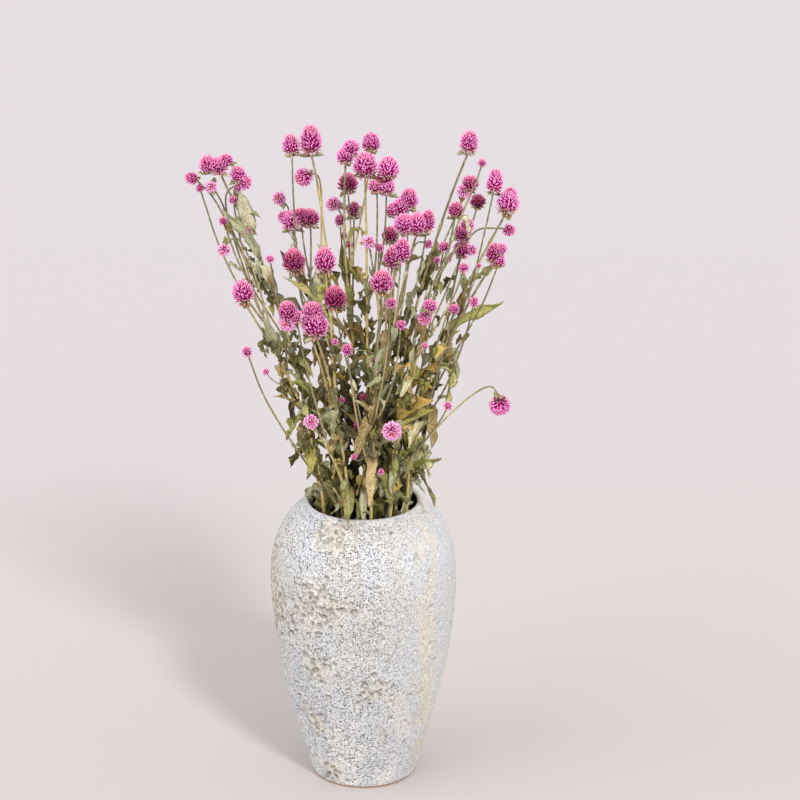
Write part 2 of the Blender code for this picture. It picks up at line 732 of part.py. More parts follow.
def make_stalk(name, stalk, sides, collection):
    """A stalk as a mesh: a curve with an outline as its bevel, its caps welded to it."""
    section = make_section(sides, collection)
    curve = bpy.data.curves.new(name, "CURVE")
    curve.dimensions = "3D"
    curve.bevel_mode = "OBJECT"
    curve.bevel_object = section
    curve.use_fill_caps = True
    spline = curve.splines.new("POLY")
    spline.points.add(len(stalk.points) - 1)
    for point, place, radius in zip(spline.points, stalk.points, stalk.radii):
        point.co = (*place, 1.0)
        point.radius = radius
    guide = bpy.data.objects.new(name, curve)
    collection.objects.link(guide)
    mesh = evaluated_mesh(guide)
    bpy.data.objects.remove(guide)
    bpy.data.objects.remove(section)
    bm = bmesh.new()
    bm.from_mesh(mesh)
    bmesh.ops.remove_doubles(bm, verts=bm.verts, dist=0.01 * MM)
    bmesh.ops.recalc_face_normals(bm, faces=bm.faces)
    return mesh_object(name, bm, collection)


def make_leaf(name, leaf, collection):
    """The blade as a thin closed solid with both faces split into triangles alike."""
    stations, rows = leaf_corners(leaf)
    steps = len(stations) - 1
    bm = bmesh.new()
    bmesh.ops.create_grid(bm, x_segments=2, y_segments=steps, size=1.0)
    for vert in bm.verts:
        row = rows[round(vert.co.x) + 1]
        vert.co = row[round((vert.co.y + 1.0) / 2.0 * steps)]
    bmesh.ops.remove_doubles(bm, verts=bm.verts, dist=0.05 * MM)
    bmesh.ops.triangulate(bm, faces=bm.faces, quad_method="FIXED")
    sheet = mesh_object(name, bm, collection)
    thick = sheet.modifiers.new("thick", "SOLIDIFY")
    thick.thickness = BLADE
    thick.offset = 0.0
    sheet.data = evaluated_mesh(sheet)
    sheet.modifiers.clear()
    return sheet


def make_head(name, bloom, collection):
    """An egg-shaped head covered with bract tips, every other corner of its mesh."""
    for least, columns, rings in HEAD_MESH:
        if bloom.width >= least:
            break
    bm = bmesh.new()
    bmesh.ops.create_uvsphere(bm, u_segments=columns, v_segments=rings, radius=1.0)
    turn = Vector((0.0, 0.0, 1.0)).rotation_difference(Vector(bloom.axis)).to_matrix()
    valleys = set()
    for vert in bm.verts:
        x, y, z = vert.co
        ring = round(math.acos(max(-1.0, min(1.0, z))) / math.pi * rings)
        column = round((math.atan2(y, x) / math.tau - 0.25) * columns)
        swell = BRACT_TIP
        if ring in (0, rings):
            swell = 1.0 if z > 0.0 else 2.0 * BASE_SHARE
        elif (ring + column) % 2:
            swell = BRACT_VALLEY
            valleys.add(vert)
        girth = bloom.width / 2.0 * swell * (1.0 - 0.1 * z)
        place = Vector((x * girth, y * girth, z * bloom.tall / 2.0 * swell))
        vert.co = Vector(bloom.middle) + turn @ place
    for face in list(bm.faces):
        low = [vert for vert in face.verts if vert in valleys]
        if len(face.verts) == 4:
            bmesh.utils.face_split(face, low[0], low[1])
    return mesh_object(name, bm, collection)


def join(first, others):
    """Makes `first` one body with the others, and drops what the union leaves loose."""
    if others:
        helpers = bpy.data.collections.new("repeats")
        bpy.context.scene.collection.children.link(helpers)
        for other in others:
            helpers.objects.link(other)
        union = first.modifiers.new("union", "BOOLEAN")
        union.operation = "UNION"
        union.solver = "MANIFOLD"
        union.operand_type = "COLLECTION"
        union.collection = helpers
        first.data = evaluated_mesh(first)
        first.modifiers.clear()
        for other in others:
            bpy.data.objects.remove(other)
        bpy.data.collections.remove(helpers)
    bm = bmesh.new()
    bm.from_mesh(first.data)
    islands = []
    left = set(bm.verts)
    while left:
        island = {left.pop()}
        edge = list(island)
        while edge:
            vert = edge.pop()
            for link in vert.link_edges:
                other = link.other_vert(vert)
                if other in left:
                    left.remove(other)
                    island.add(other)
                    edge.append(other)
        islands.append(island)
    islands.sort(key=len)
    for island in islands[:-1]:
        bmesh.ops.delete(bm, geom=list(island), context="VERTS")
    bm.to_mesh(first.data)
    bm.free()


def make_stem(grown, collection):
    """One leafy stem with its side stalks, leaves and buds, as one body."""
    name = "stem_" + grown.name
    stem = make_stalk(name, grown.stalk, STALK_SIDES, collection)
    others = [make_stalk("side", side, SIDE_SIDES, collection) for side in grown.sides]
    others += [make_leaf("leaf", leaf, collection) for leaf in grown.leaves]
    others += [make_head("bud", bud, collection) for bud in grown.buds]
    join(stem, others)
    stem.data.materials.clear()
    stem.data.materials.append(own_material(name, (0.27, 0.27, 0.15), 0.8))


def make_heads(grown, collection):
    """The open heads of one stem: a body for each bunch that is pressed together."""
    for number, bunch in enumerate(grown.bunches, start=1):
        name = f"heads_{grown.name}_{number}"
        first = make_head(name, bunch[0], collection)
        others = [make_head("head", bloom, collection) for bloom in bunch[1:]]
        join(first, others)
        first.data.materials.clear()
        first.data.materials.append(own_material(name, (0.62, 0.12, 0.36), 0.8))


def main():
    clear_scene()
    collection = bpy.data.collections.new("vase of dried globe amaranth")
    bpy.context.scene.collection.children.link(collection)
    make_vase(collection)
    for grown in grow_bunch():
        make_stem(grown, collection)
        make_heads(grown, collection)


if __name__ == "__main__":
    main()
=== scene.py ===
import itertools
import json
import math
import random
from collections import namedtuple

import bpy
import numpy as np
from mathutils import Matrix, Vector, noise

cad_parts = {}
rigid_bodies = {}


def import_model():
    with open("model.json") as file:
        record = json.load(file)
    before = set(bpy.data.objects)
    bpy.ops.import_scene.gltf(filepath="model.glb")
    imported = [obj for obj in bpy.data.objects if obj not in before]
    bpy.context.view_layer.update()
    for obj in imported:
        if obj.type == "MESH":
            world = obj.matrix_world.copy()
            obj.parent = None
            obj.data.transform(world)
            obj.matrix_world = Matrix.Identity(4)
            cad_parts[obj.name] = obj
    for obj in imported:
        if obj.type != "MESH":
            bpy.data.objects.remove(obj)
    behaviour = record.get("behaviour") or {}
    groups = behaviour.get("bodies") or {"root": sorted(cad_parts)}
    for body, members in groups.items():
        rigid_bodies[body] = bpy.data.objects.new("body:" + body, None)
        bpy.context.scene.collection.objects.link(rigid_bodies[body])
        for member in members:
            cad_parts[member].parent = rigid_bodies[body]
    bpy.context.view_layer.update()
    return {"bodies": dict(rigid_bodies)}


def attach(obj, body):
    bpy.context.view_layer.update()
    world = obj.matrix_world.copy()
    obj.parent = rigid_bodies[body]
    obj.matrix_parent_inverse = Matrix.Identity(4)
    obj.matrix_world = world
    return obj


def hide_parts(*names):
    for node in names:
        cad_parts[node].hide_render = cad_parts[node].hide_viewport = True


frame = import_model()
BODY = next(iter(frame["bodies"]))
MM = 0.001

# The vase is one pot of coarse stoneware, thrown on a wheel, with its rim wiped smooth.
# Its chalky glaze boiled in the kiln, which left pits all over the outside and craters
# in clusters. The glaze stops at a thin line of bare clay round the foot.
VASE_HEIGHT = 282.0 * MM
BELLY_HEIGHT = 205.0 * MM
BELLY_RADIUS = 88.8 * MM
FOOT_RADIUS = 49.0 * MM
MOUTH_RADIUS = 57.5 * MM
WALL = 6.4 * MM
FLOOR = 9.0 * MM
# The mesh has a row every VASE_ROW outside, and inside one for each INNER_ROW of those.
# Its columns stand closer together at the front, by FRONT_SHARE.
VASE_COLUMNS = 380
FRONT_SHARE = 0.3
VASE_ROW = 1.42 * MM
INNER_ROW = 9
LIP_ROWS = 9
PROFILE_STEPS = (24, 60)
# How the glaze's look wears off over the first rows of the lip.
LIP_WEAR = np.array((0.95, 0.9, 0.7, 0.4, 0.15))[:, None]
# Clusters of craters: turn from the front in degrees, height, spread and how many.
CLUSTERS = (
    (-27, 268 * MM, 20 * MM, 26), (-28, 203 * MM, 32 * MM, 62), (-68, 190 * MM, 30 * MM, 60),
    (7, 116 * MM, 17 * MM, 24), (-30, 15 * MM, 15 * MM, 18), (-30, 138 * MM, 19 * MM, 22),
    (-42, 68 * MM, 18 * MM, 14), (100, 160 * MM, 34 * MM, 40), (150, 235 * MM, 26 * MM, 36),
    (205, 120 * MM, 34 * MM, 44), (255, 60 * MM, 26 * MM, 30), (265, 215 * MM, 24 * MM, 30),
)
LONE_CRATERS = 620
CRATER_SEED = 4
CRATER_RADII = (1.7 * MM, 4.2 * MM)
# How rare large craters are, in a cluster and alone.
CLUSTER_RARITY = 1.2
LONE_RARITY = 5.0
# As shares of a crater's radius: its depth, how near others come, and its rim's place,
# width and height.
CRATER_DEPTH = 0.6
CRATER_GAP = 0.9
RIM_PLACE = 1.15
RIM_WIDTH = 0.28
RIM_HEIGHT = 0.12
# The wall's uneven swell and the glaze's small lumps: how many to the metre, how high.
SWELL = (22.0, 0.5 * MM)
LUMPS = (300.0, 0.34 * MM)


def bow(start, leave, end, arrive, count):
    """Points of a cubic curve that leaves `start` and reaches `end` along vectors."""
    t = np.linspace(0.0, 1.0, count)[:, None]
    first = start * (1.0 - t) ** 3 + (start + leave) * 3.0 * t * (1.0 - t) ** 2
    return first + (end - arrive) * 3.0 * t * t * (1.0 - t) + end * t ** 3


def read(points, marks, wanted):
    """The line's places at the wanted marks, where `marks` are its points' own."""
    return np.column_stack([np.interp(wanted, marks, column) for column in points.T])


def marks_along(points):
    """How far along a line each of its points is."""
    lengths = np.linalg.norm(np.diff(points, axis=0), axis=1)
    return np.concatenate([[0.0], np.cumsum(lengths)])


def spaced(points, values, step):
    """The line and its values read again, a point every `step` or a bit less."""
    marks = marks_along(points)
    wanted = np.linspace(0.0, marks[-1], int(marks[-1] / step) + 2)
    return read(points, marks, wanted), np.interp(wanted, marks, values)


def units(rows):
    """Each row's vector with a length of one."""
    return rows / np.linalg.norm(rows, axis=1)[:, None]


def vase_profile(shoulder_steps, flank_steps):
    """(radius, height) down the vase's outer side, from under the lip to the foot."""
    belly = np.array((BELLY_RADIUS, BELLY_HEIGHT))
    top = np.array((MOUTH_RADIUS, VASE_HEIGHT - WALL / 2.0))
    foot = np.array((FOOT_RADIUS + 1.6 * MM, 2.0 * MM))
    leave, arrive = np.array(((16.0, -14.5), (0.0, -42.0))) * MM
    shoulder = bow(top, leave, belly, arrive, shoulder_steps)
    leave, arrive = np.array(((0.0, -80.0), (-15.0, -56.0))) * MM
    return np.vstack([shoulder, bow(belly, leave, foot, arrive, flank_steps)[1:]])


def grid_faces(rows, columns, closed):
    """Triangles over a grid of points, row by row, joined up round each row if closed."""
    steps = np.arange(rows - 1), np.arange(columns - (not closed))
    row, column = np.meshgrid(*steps, indexing="ij")
    here = (row * columns + column).ravel()
    beside = (row * columns + (column + 1) % columns).ravel()
    first = np.column_stack([here, beside, beside + columns])
    second = np.column_stack([here, beside + columns, here + columns])
    return np.vstack([first, second])


def closed_faces(rows, columns):
    """Triangles over closed rows, and fans from both end rows to a last two points."""
    first = np.arange(columns)
    last = first + (rows - 1) * columns
    start = np.column_stack([np.roll(first, -1), first, np.full(columns, rows * columns)])
    end = np.column_stack([last, np.roll(last, -1), np.full(columns, rows * columns + 1)])
    return np.vstack([grid_faces(rows, columns, True), start, end])


def stand(name, data):
    """A new object in the scene."""
    made = bpy.data.objects.new(name, data)
    bpy.context.scene.collection.objects.link(made)
    return made


def make_piece(name, part, material, slot, *nodes):
    """A finished piece from its points, its faces and what its points carry."""
    points, faces, values = part
    mesh = bpy.data.meshes.new(name)
    mesh.vertices.add(len(points))
    mesh.vertices.foreach_set("co", np.asarray(points, np.float32).ravel())
    mesh.loops.add(faces.size)
    mesh.loops.foreach_set("vertex_index", np.asarray(faces, np.int32).ravel())
    mesh.polygons.add(len(faces))
    mesh.polygons.foreach_set("loop_start", np.arange(0, faces.size, 3, dtype=np.int32))
    mesh.update(calc_edges=True)
    for key, row in values.items():
        layer = mesh.attributes.new(key, "FLOAT", "POINT")
        layer.data.foreach_set("value", np.asarray(row, np.float32))
    mesh.validate()
    mesh.shade_smooth()
    mesh.materials.append(material)
    piece = stand(name, mesh)
    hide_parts(*nodes)
    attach(piece, BODY)


class Tone:
    """A value or colour of a material's nodes, reckoned with like a number."""

    def __init__(self, tree, socket=None):
        self.tree = tree
        self.socket = socket

    def node(self, kind, settings=None, sockets=None, output=0):
        """The tone that leaves a new node, whose settings are made before its sockets."""
        made = self.tree.nodes.new("ShaderNode" + kind)
        for key, value in (settings or {}).items():
            if key == "stops":
                ramp = made.color_ramp.elements
                for place, colour in value[1:-1]:
                    ramp.new(place).color = (*colour, 1.0)
                for number, (place, colour) in ((0, value[0]), (-1, value[-1])):
                    ramp[number].position = place
                    ramp[number].color = (*colour, 1.0)
            else:
                setattr(made, key, value)
        for key, value in (sockets or {}).items():
            if isinstance(value, Tone):
                self.tree.links.new(value.socket, made.inputs[key])
            else:
                made.inputs[key].default_value = value
        return Tone(self.tree, made.outputs[output])

    def maths(self, operation, *values):
        return self.node("Math", {"operation": operation}, dict(enumerate(values)))

    def __add__(self, other):
        return self.maths("ADD", self, other)

    def __radd__(self, other):
        return self.maths("ADD", other, self)

    def __sub__(self, other):
        return self.maths("SUBTRACT", self, other)

    def __rsub__(self, other):
        return self.maths("SUBTRACT", other, self)

    def __mul__(self, other):
        return self.maths("MULTIPLY", self, other)

    def __rmul__(self, other):
        return self.maths("MULTIPLY", other, self)

    def between(self, low, high):
        """0 below `low`, 1 above `high` and a smooth rise between them."""
        ends = {0: self, 1: low, 2: high, 3: 0.0, 4: 1.0}
        return self.node("MapRange", {"interpolation_type": "SMOOTHSTEP"}, ends)

    def plain(self, *colour):
        """A plain colour, for others to be mixed into."""
        return self.node("Mix", {"data_type": "RGBA"}, {0: 0.0, 6: (*colour, 1.0)}, 2)

    def tinted(self, *coats):
        """This colour with others mixed in, one by one, each with its share."""
        made = self
        for colour, share in coats:
            over = colour if isinstance(colour, Tone) else (*colour, 1.0)
            settings = {"data_type": "RGBA", "clamp_factor": True}
            made = self.node("Mix", settings, {0: share, 6: made, 7: over}, 2)
        return made

    def carried(self, key):
        """A value that the mesh carries on its points."""
        return self.node("Attribute", {"attribute_name": key}, output=2)

    def place(self):
        return self.node("TexCoord", output=3)

    def cloud(self, scale, detail=3.0, where=None):
        """Cloudy noise round a half, with patches of about one over `scale` metres."""
        sockets = {"Vector": where or self.place(), "Scale": scale, "Detail": detail}
        return self.node("TexNoise", sockets=sockets)

    def cells(self, scale, output=0):
        """The distance to the middle of the cell that a point is in, or its colour."""
        sockets = {"Vector": self.place(), "Scale": scale}
        return self.node("TexVoronoi", sockets=sockets, output=output)

    def drawn(self, scale):
        """A number drawn at random for each of those cells."""
        return self.node("SeparateColor", sockets={0: self.cells(scale, 1)})

    def bump(self, height, distance, strength, **others):
        """A surface that stands out by a height, up to a distance."""
        sockets = {"Height": height, "Distance": distance, "Strength": strength, **others}
        return self.node("Bump", sockets=sockets)


def new_finish(name, roughness, gloss=0.5):
    """A material, its shader and a blank tone to start from."""
    material = bpy.data.materials.new(name)
    material.use_nodes = True
    shader = material.node_tree.nodes["Principled BSDF"]
    shader.inputs["Roughness"].default_value = roughness
    shader.inputs["Specular IOR Level"].default_value = gloss
    return material, shader, Tone(material.node_tree)


def feed(shader, key, tone):
    tone.tree.links.new(tone.socket, shader.inputs[key])


def round_from(turns, turn):
    """How far round some turns are from another, up to half a turn either way."""
    return (turns - turn + math.pi) % math.tau - math.pi


def crater_field(turns, arcs, radii, heights):
    """How deep the craters are, and how high their rims stand, on a grid of the vase's
    outside: `turns` is by column, the rest by row from the foot up."""
    rng = random.Random(CRATER_SEED)
    craters = []
    for turn, height, spread, count in CLUSTERS:
        for _ in range(count):
            up = height + rng.gauss(0.0, 0.5) * spread
            shift = rng.gauss(0.0, 0.5) * spread / np.interp(up, heights, radii)
            craters.append((math.radians(turn - 90.0) + shift, up, CLUSTER_RARITY))
    for _ in range(LONE_CRATERS):
        up = rng.uniform(4.0 * MM, VASE_HEIGHT - 8.0 * MM)
        craters.append((rng.uniform(0.0, math.tau), up, LONE_RARITY))
    dents = np.zeros((len(arcs), len(turns)))
    rims = np.zeros_like(dents)
    taken = []
    small, large = CRATER_RADII
    for turn, up, rarity in craters:
        radius = small + (large - small) * rng.random() ** rarity
        squash = rng.uniform(0.75, 1.3)
        girth = np.interp(up, heights, radii)
        spot = np.array((math.cos(turn) * girth, math.sin(turn) * girth, up))
        gaps = (np.linalg.norm(spot - other) / (radius + size) for other, size in taken)
        if any(gap < CRATER_GAP for gap in gaps):
            continue
        taken.append((spot, radius))
        above = arcs - np.interp(up, heights, arcs)
        rows = np.nonzero(np.abs(above) < 2.0 * radius)[0]
        away = round_from(turns, turn)
        columns = np.nonzero(np.abs(away) * radii[rows].min(initial=1.0) < 2.0 * radius)[0]
        beside = away[columns][None, :] * radii[rows][:, None] * squash
        share = np.hypot(beside, above[rows][:, None]) / radius
        dent = np.clip(1.0 - share ** 2, 0.0, 1.0) ** 0.6 * radius * CRATER_DEPTH
        rim = np.exp(-(((share - RIM_PLACE) / RIM_WIDTH) ** 2)) * radius * RIM_HEIGHT
        spot = np.ix_(rows, columns)
        dents[spot] = np.maximum(dents[spot], dent)
        rims[spot] = np.maximum(rims[spot], rim)
    return dents, rims


def glaze():
    """Chalky grey-white with bluish and creamy streaks, dark in its pits and flecked, with
    painted shade in its craters, down its front middle and on its inside, and painted light
    towards its foot.
    """
    material, shader, tone = new_finish("boiled_glaze", 0.66)
    outside, crater = tone.carried("outside"), tone.carried("crater")
    zone = (tone.carried("zone") + (tone.cloud(42.0) - 0.5) * 1.1).between(0.1, 0.95)
    spot = tone.place()
    side, rise = (tone.node("SeparateXYZ", sockets={0: spot}, output=k) for k in (0, 2))
    run = tone.node("Mapping", sockets={"Vector": spot, "Scale": (1.0, 1.0, 0.4)})
    streak = tone.cloud(34.0, 4.0, run)
    # busy: fewer pits towards the right, partly the glaze's own and partly painted light on the
    # lit right side
    busy = (1.0 - side.between(-20.0 * MM, 78.0 * MM) * 0.72) * (0.78 + streak * 0.6)
    fine = tone.cells(720.0).between(0.40, 0.27) * tone.drawn(720.0).between(0.2, 0.5) * 0.95
    wide = tone.cells(470.0).between(0.38, 0.24) * tone.drawn(470.0).between(0.3, 0.7)
    pits = tone.maths("MAXIMUM", fine, wide) * busy * outside * (1.0 - zone * 0.65)
    hollows = []
    for scale, share in ((190.0, 0.9), (120.0, 0.7)):
        there = (zone * share - tone.drawn(scale)).between(-0.02, 0.04) * outside
        hollows.append(tone.cells(scale).between(0.50, 0.08) * there)
    hollow = tone.maths("MAXIMUM", *hollows)
    flecks = tone.drawn(900.0).between(0.66, 0.92)
    grain = tone.cloud(1100.0, 2.0)
    # middle: the band down the front, painted darker to take down the window light that falls
    # strongest there
    middle = side.between(-62.0 * MM, -20.0 * MM) * side.between(52.0 * MM, 24.0 * MM)
    creamy = tone.cloud(19.0, 3.0, run).between(0.54, 0.72)
    band = side.between(44.0 * MM, 56.0 * MM) * side.between(74.0 * MM, 62.0 * MM)
    band = band * tone.cloud(60.0, 3.0, run).between(0.40, 0.56)
    pale = flecks * outside * 0.7 + grain.between(0.60, 0.75) * 0.3
    dull = tone.cloud(520.0, 2.0).between(0.50, 0.34) * outside * (0.4 - zone * 0.3)
    feed(shader, "Base Color", tone.plain(0.58, 0.58, 0.58).tinted(
        # painted shade down the front middle
        ((0.50, 0.495, 0.49), middle * 0.55),
        # painted light: lighter towards the foot, to lift the lower part out of its shade
        ((0.72, 0.715, 0.71), rise.between(190.0 * MM, 20.0 * MM)),
        ((0.545, 0.575, 0.635), streak.between(0.40, 0.60) * 0.8),
        ((0.63, 0.555, 0.44), creamy * 0.45),
        ((0.67, 0.58, 0.44), zone * 0.5),
        ((0.62, 0.50, 0.36), side.between(-74.0 * MM, -86.0 * MM) * 0.6),
        ((0.67, 0.60, 0.48), band * 0.75),
        ((0.86, 0.855, 0.84), pale),
        ((0.33, 0.325, 0.32), dull),
        # craters and hollows: partly the glaze's own warmer colour there, partly painted shade
        # inside them
        ((0.40, 0.36, 0.28), crater * outside * 0.5),
        ((0.44, 0.40, 0.31), hollow * 0.35),
        ((0.040, 0.038, 0.035), pits * 0.95),
        ((0.50, 0.29, 0.13), rise.between(3.0 * MM, 1.2 * MM) * outside),
        # painted shade: the inside nearly black, for the shade within the vase
        ((0.060, 0.050, 0.038), tone.carried("inside")),
    ))
    feed(shader, "Roughness", 0.55 + pits * 0.35 + grain * 0.1)
    bowls = tone.bump(1.0 - hollow, 3.5 * MM, 1.0)
    rough = flecks * 0.4 + grain * 0.3 - pits * 1.2
    feed(shader, "Normal", tone.bump(rough, 0.8 * MM, 0.9, Normal=bowls))
    return material


def swung(across, up):
    """Places, from how far from the axis and how high they are, swung round to each
    column of the vase."""
    return np.stack([across * np.cos(turns), across * np.sin(turns), up * ones], axis=-1)


outer = vase_profile(*PROFILE_STEPS)[::-1]
outer, _ = spaced(outer, np.zeros(len(outer)), VASE_ROW)
slopes = np.gradient(outer, axis=0)
outward = units(np.column_stack([slopes[:, 1], -slopes[:, 0]]))
arcs = marks_along(outer)
ones = np.ones(VASE_COLUMNS)
turns = np.linspace(0.0, math.tau, VASE_COLUMNS, endpoint=False)
turns = turns - FRONT_SHARE * np.cos(turns)
dents, rims = crater_field(turns, arcs, outer[:, 0], outer[:, 1])
lip_middle = np.array((MOUTH_RADIUS - WALL / 2.0, VASE_HEIGHT - WALL / 2.0))
lip = [
    lip_middle + WALL / 2.0 * np.array((math.cos(turn), math.sin(turn)))
    for turn in np.linspace(0.0, math.pi, LIP_ROWS)[1:]
]
inner = (outer - outward * WALL)[::-INNER_ROW]
inner = inner[(inner[:, 1] > FLOOR + 6.0 * MM) & (inner[:, 1] < lip[-1][1] - 2.0 * MM)]
floor_edge = (FOOT_RADIUS - WALL - 5.0 * MM, FLOOR)
profile = np.vstack([[(FOOT_RADIUS, 0.0)], outer, lip, inner, [floor_edge]])
wall = swung(profile[:, :1], profile[:, 1:])
glazed = slice(1, 1 + len(outer))
# The craters end where the rim is wiped and where the glaze stops.
fade = np.clip((arcs[-1] - arcs - 0.8 * MM) / (2.4 * MM), 0.0, 1.0)
fade *= np.clip(outer[:, 1] / (4.0 * MM), 0.0, 1.0)
shift = np.where(dents > 0.0, -dents, rims) * fade[:, None]
for row in range(len(outer)):
    for column in range(VASE_COLUMNS):
        spot = Vector(wall[1 + row, column])
        shift[row, column] += noise.noise(spot * SWELL[0]) * SWELL[1]
        shift[row, column] += noise.noise(spot * LUMPS[0]) * LUMPS[1] * fade[row]
wall[glazed] += swung(shift * outward[:, :1], shift * outward[:, 1:])
crater, zone, outside, inside = np.zeros((4, *wall.shape[:2]))
crater[glazed] = np.clip(dents / (CRATER_RADII[1] * CRATER_DEPTH), 0.0, 1.0) * fade[:, None]
for turn, height, spread, _ in CLUSTERS:
    beside = round_from(turns, math.radians(turn - 90.0))[None, :] * outer[:, :1] / spread
    above = (outer[:, 1:] - height) / spread
    near = np.exp(-1.2 * (beside ** 2 + above ** 2))
    zone[glazed] = np.maximum(zone[glazed], near)
outside[:glazed.stop] = 1.0
outside[glazed.stop:glazed.stop + len(LIP_WEAR)] = LIP_WEAR
# the rows inside, which are painted nearly black as shade
inside[glazed.stop + LIP_ROWS - 3:] = 1.0
carried = {
    "crater": np.append(crater, (0.0, 0.0)), "zone": np.append(zone, (0.0, 0.0)),
    "outside": np.append(outside, (1.0, 0.0)), "inside": np.append(inside, (0.0, 1.0)),
}
points = np.vstack([wall.reshape(-1, 3), [(0.0, 0.0, 0.0), (0.0, 0.0, FLOOR)]])
part = (points, closed_faces(len(profile), VASE_COLUMNS), carried)
make_piece("stoneware_vase", part, glaze(), "stoneware", "vase")


# The bunch, stem by stem, as it was put into the vase: each stem stands on its cut end
# inside and leans on the rim, and no two touch. Where everything stands comes first, by
# the solids' own rule, from a front view whose places are (across, down) in its units.
UP = np.array((0.0, 0.0, 1.0))
GAP = 0.3 * MM
SEED = 11
SHOULDER_STEPS = 5
FLANK_STEPS = 6
# The stalks, from the cut end to the tip. Leaves and side stalks grow from joints.
STALK_RADIUS = 2.1 * MM
STALK_TIP_RADIUS = 0.95 * MM
SIDE_RADIUS = 1.05 * MM
SIDE_TIP_RADIUS = 0.75 * MM
JOINT_SWELL = 1.4
JOINT_SPACING = 56.0 * MM
LOWEST_JOINT = VASE_HEIGHT + 12.0 * MM
# Joints end this far below the tip, and the points between them this far.
JOINT_CLEAR = 20.0 * MM
TIP_CLEAR = 12.0 * MM
# The cut end stands this share of the way out to where the stalk passes the mouth.
CUT_END_SHARE = 0.5
SIDE_STEPS = 4
ARCHED_STEPS = 6
# A side stalk leaves the main one this far below its head. Later tries go lower.
SIDE_DROP = (60.0 * MM, 100.0 * MM)
LOWER_DROP = 200.0 * MM
# A stalk's slanted tip stands this far under its head's base, or inside a bud's,
# which is one with it.
TIP_GAP = 0.6 * MM
SUNK = 2.0 * MM
TIP_FREE = 3.6 * MM
# The leaves: how thick a solid one is, how long those low and high on a stem are, how
# wide for their length, where their cross sections stand and where their foot ends,
# how steeply they fold up along the rib, and how high and how often their edges wave.
BLADE = 0.75 * MM
LOW_LEAF = (34.0 * MM, 50.0 * MM)
HIGH_LEAF = (20.0 * MM, 32.0 * MM)
LEAF_SLIMNESS = (0.21, 0.30)
LEAF_STATIONS = (0.0, 0.22, 0.6, 1.0)
SMALL_LEAF_STATIONS = (0.0, 0.42, 1.0)
SMALL_LEAF = 42.0 * MM
RIB_POINTS = 11
LEAF_FOOT = 0.4
LEAF_FOLD = 0.4
LEAF_WAVE = 0.45
LEAF_WAVES = 1.7
# How far a leaf leans off its stalk and then bends over, in degrees: most have wilted
# and hang, and a share of them is still held up along the stalk.
WILTED_TILT = (30.0, 60.0)
WILTED_FALL = (90.0, 125.0)
HELD_SHARE = 0.3
HELD_TILT = (8.0, 24.0)
HELD_FALL = (0.0, 30.0)
# The share of its length that a leaf's bend takes, and how far it sways to one side
# and twists, in radians.
LEAF_BEND = 0.34
LEAF_SWAY = 0.5
LEAF_TWIST = 1.2
# Up to these shares of a stalk its joints carry a pair of leaves, low leaves and any
# leaf at all.
PAIRED_SHARE = 0.52
LOW_SHARE = 0.65
LEAFY_SHARE = 0.72
# As shares of the heads' radii: how far their bracts stand out, and how far apart
# heads that press together are.
BRACT_TIP = 1.06
PRESSED = 0.64
# A head's base lies this share of its height below its middle.
BASE_SHARE = 0.46
# A stem's main stalk ends under a head that faces up at least this much.
UPRIGHT = 0.8
# How far apart two pieces stay when their places are drawn, how finely they are
# tested, how often, and how much further each try shifts them.
BREATH = 1.0 * MM
TEST_STEP = 3.0 * MM
LEAF_BALL = 1.9 * MM
LEAF_TESTS = (0.5, 0.95)
HEAD_TRIES = 60
STALK_TRIES = 240
SIDE_TRIES = 160
LEAF_TRIES = 14
SEEN_LEAF_TRIES = 24
HEAD_SHIFT = 3.0 * MM
STALK_SHIFT = 0.15 * MM
SEEN_LEAF_SHIFT = -2.5 * MM
# The body numbers of the vase, and of nothing at all.
VASE_BODY = -1
NO_BODY = -2
# The front view is seen from EYE along a line that dips by EYE_DIP. Its focus and its
# middle are in view units.
EYE = np.array((0.035, -3.0, 1.5))
EYE_DIP = math.radians(20.44)
VIEW_FOCUS = 3400.0
VIEW_MIDDLE = 400.0

# A head: its middle in the front view, its width and its height in view units, and
# the way that it faces where that isn't up along its stalk.
Head = namedtuple("Head", "across down width tall face", defaults=(None,))
# A leaf that has a place of its own: where it leaves the stalk and where its tip is
# in the front view, and its width in view units.
Seen = namedtuple("Seen", "root_down across down width")
# A leafy stem: where it passes the vase's mouth in millimetres, how far back its top
# stands in millimetres, its bunches of open heads, its buds and its placed leaves.
Stem = namedtuple("Stem", "name mouth depth bunches buds leaves", defaults=((), ()))

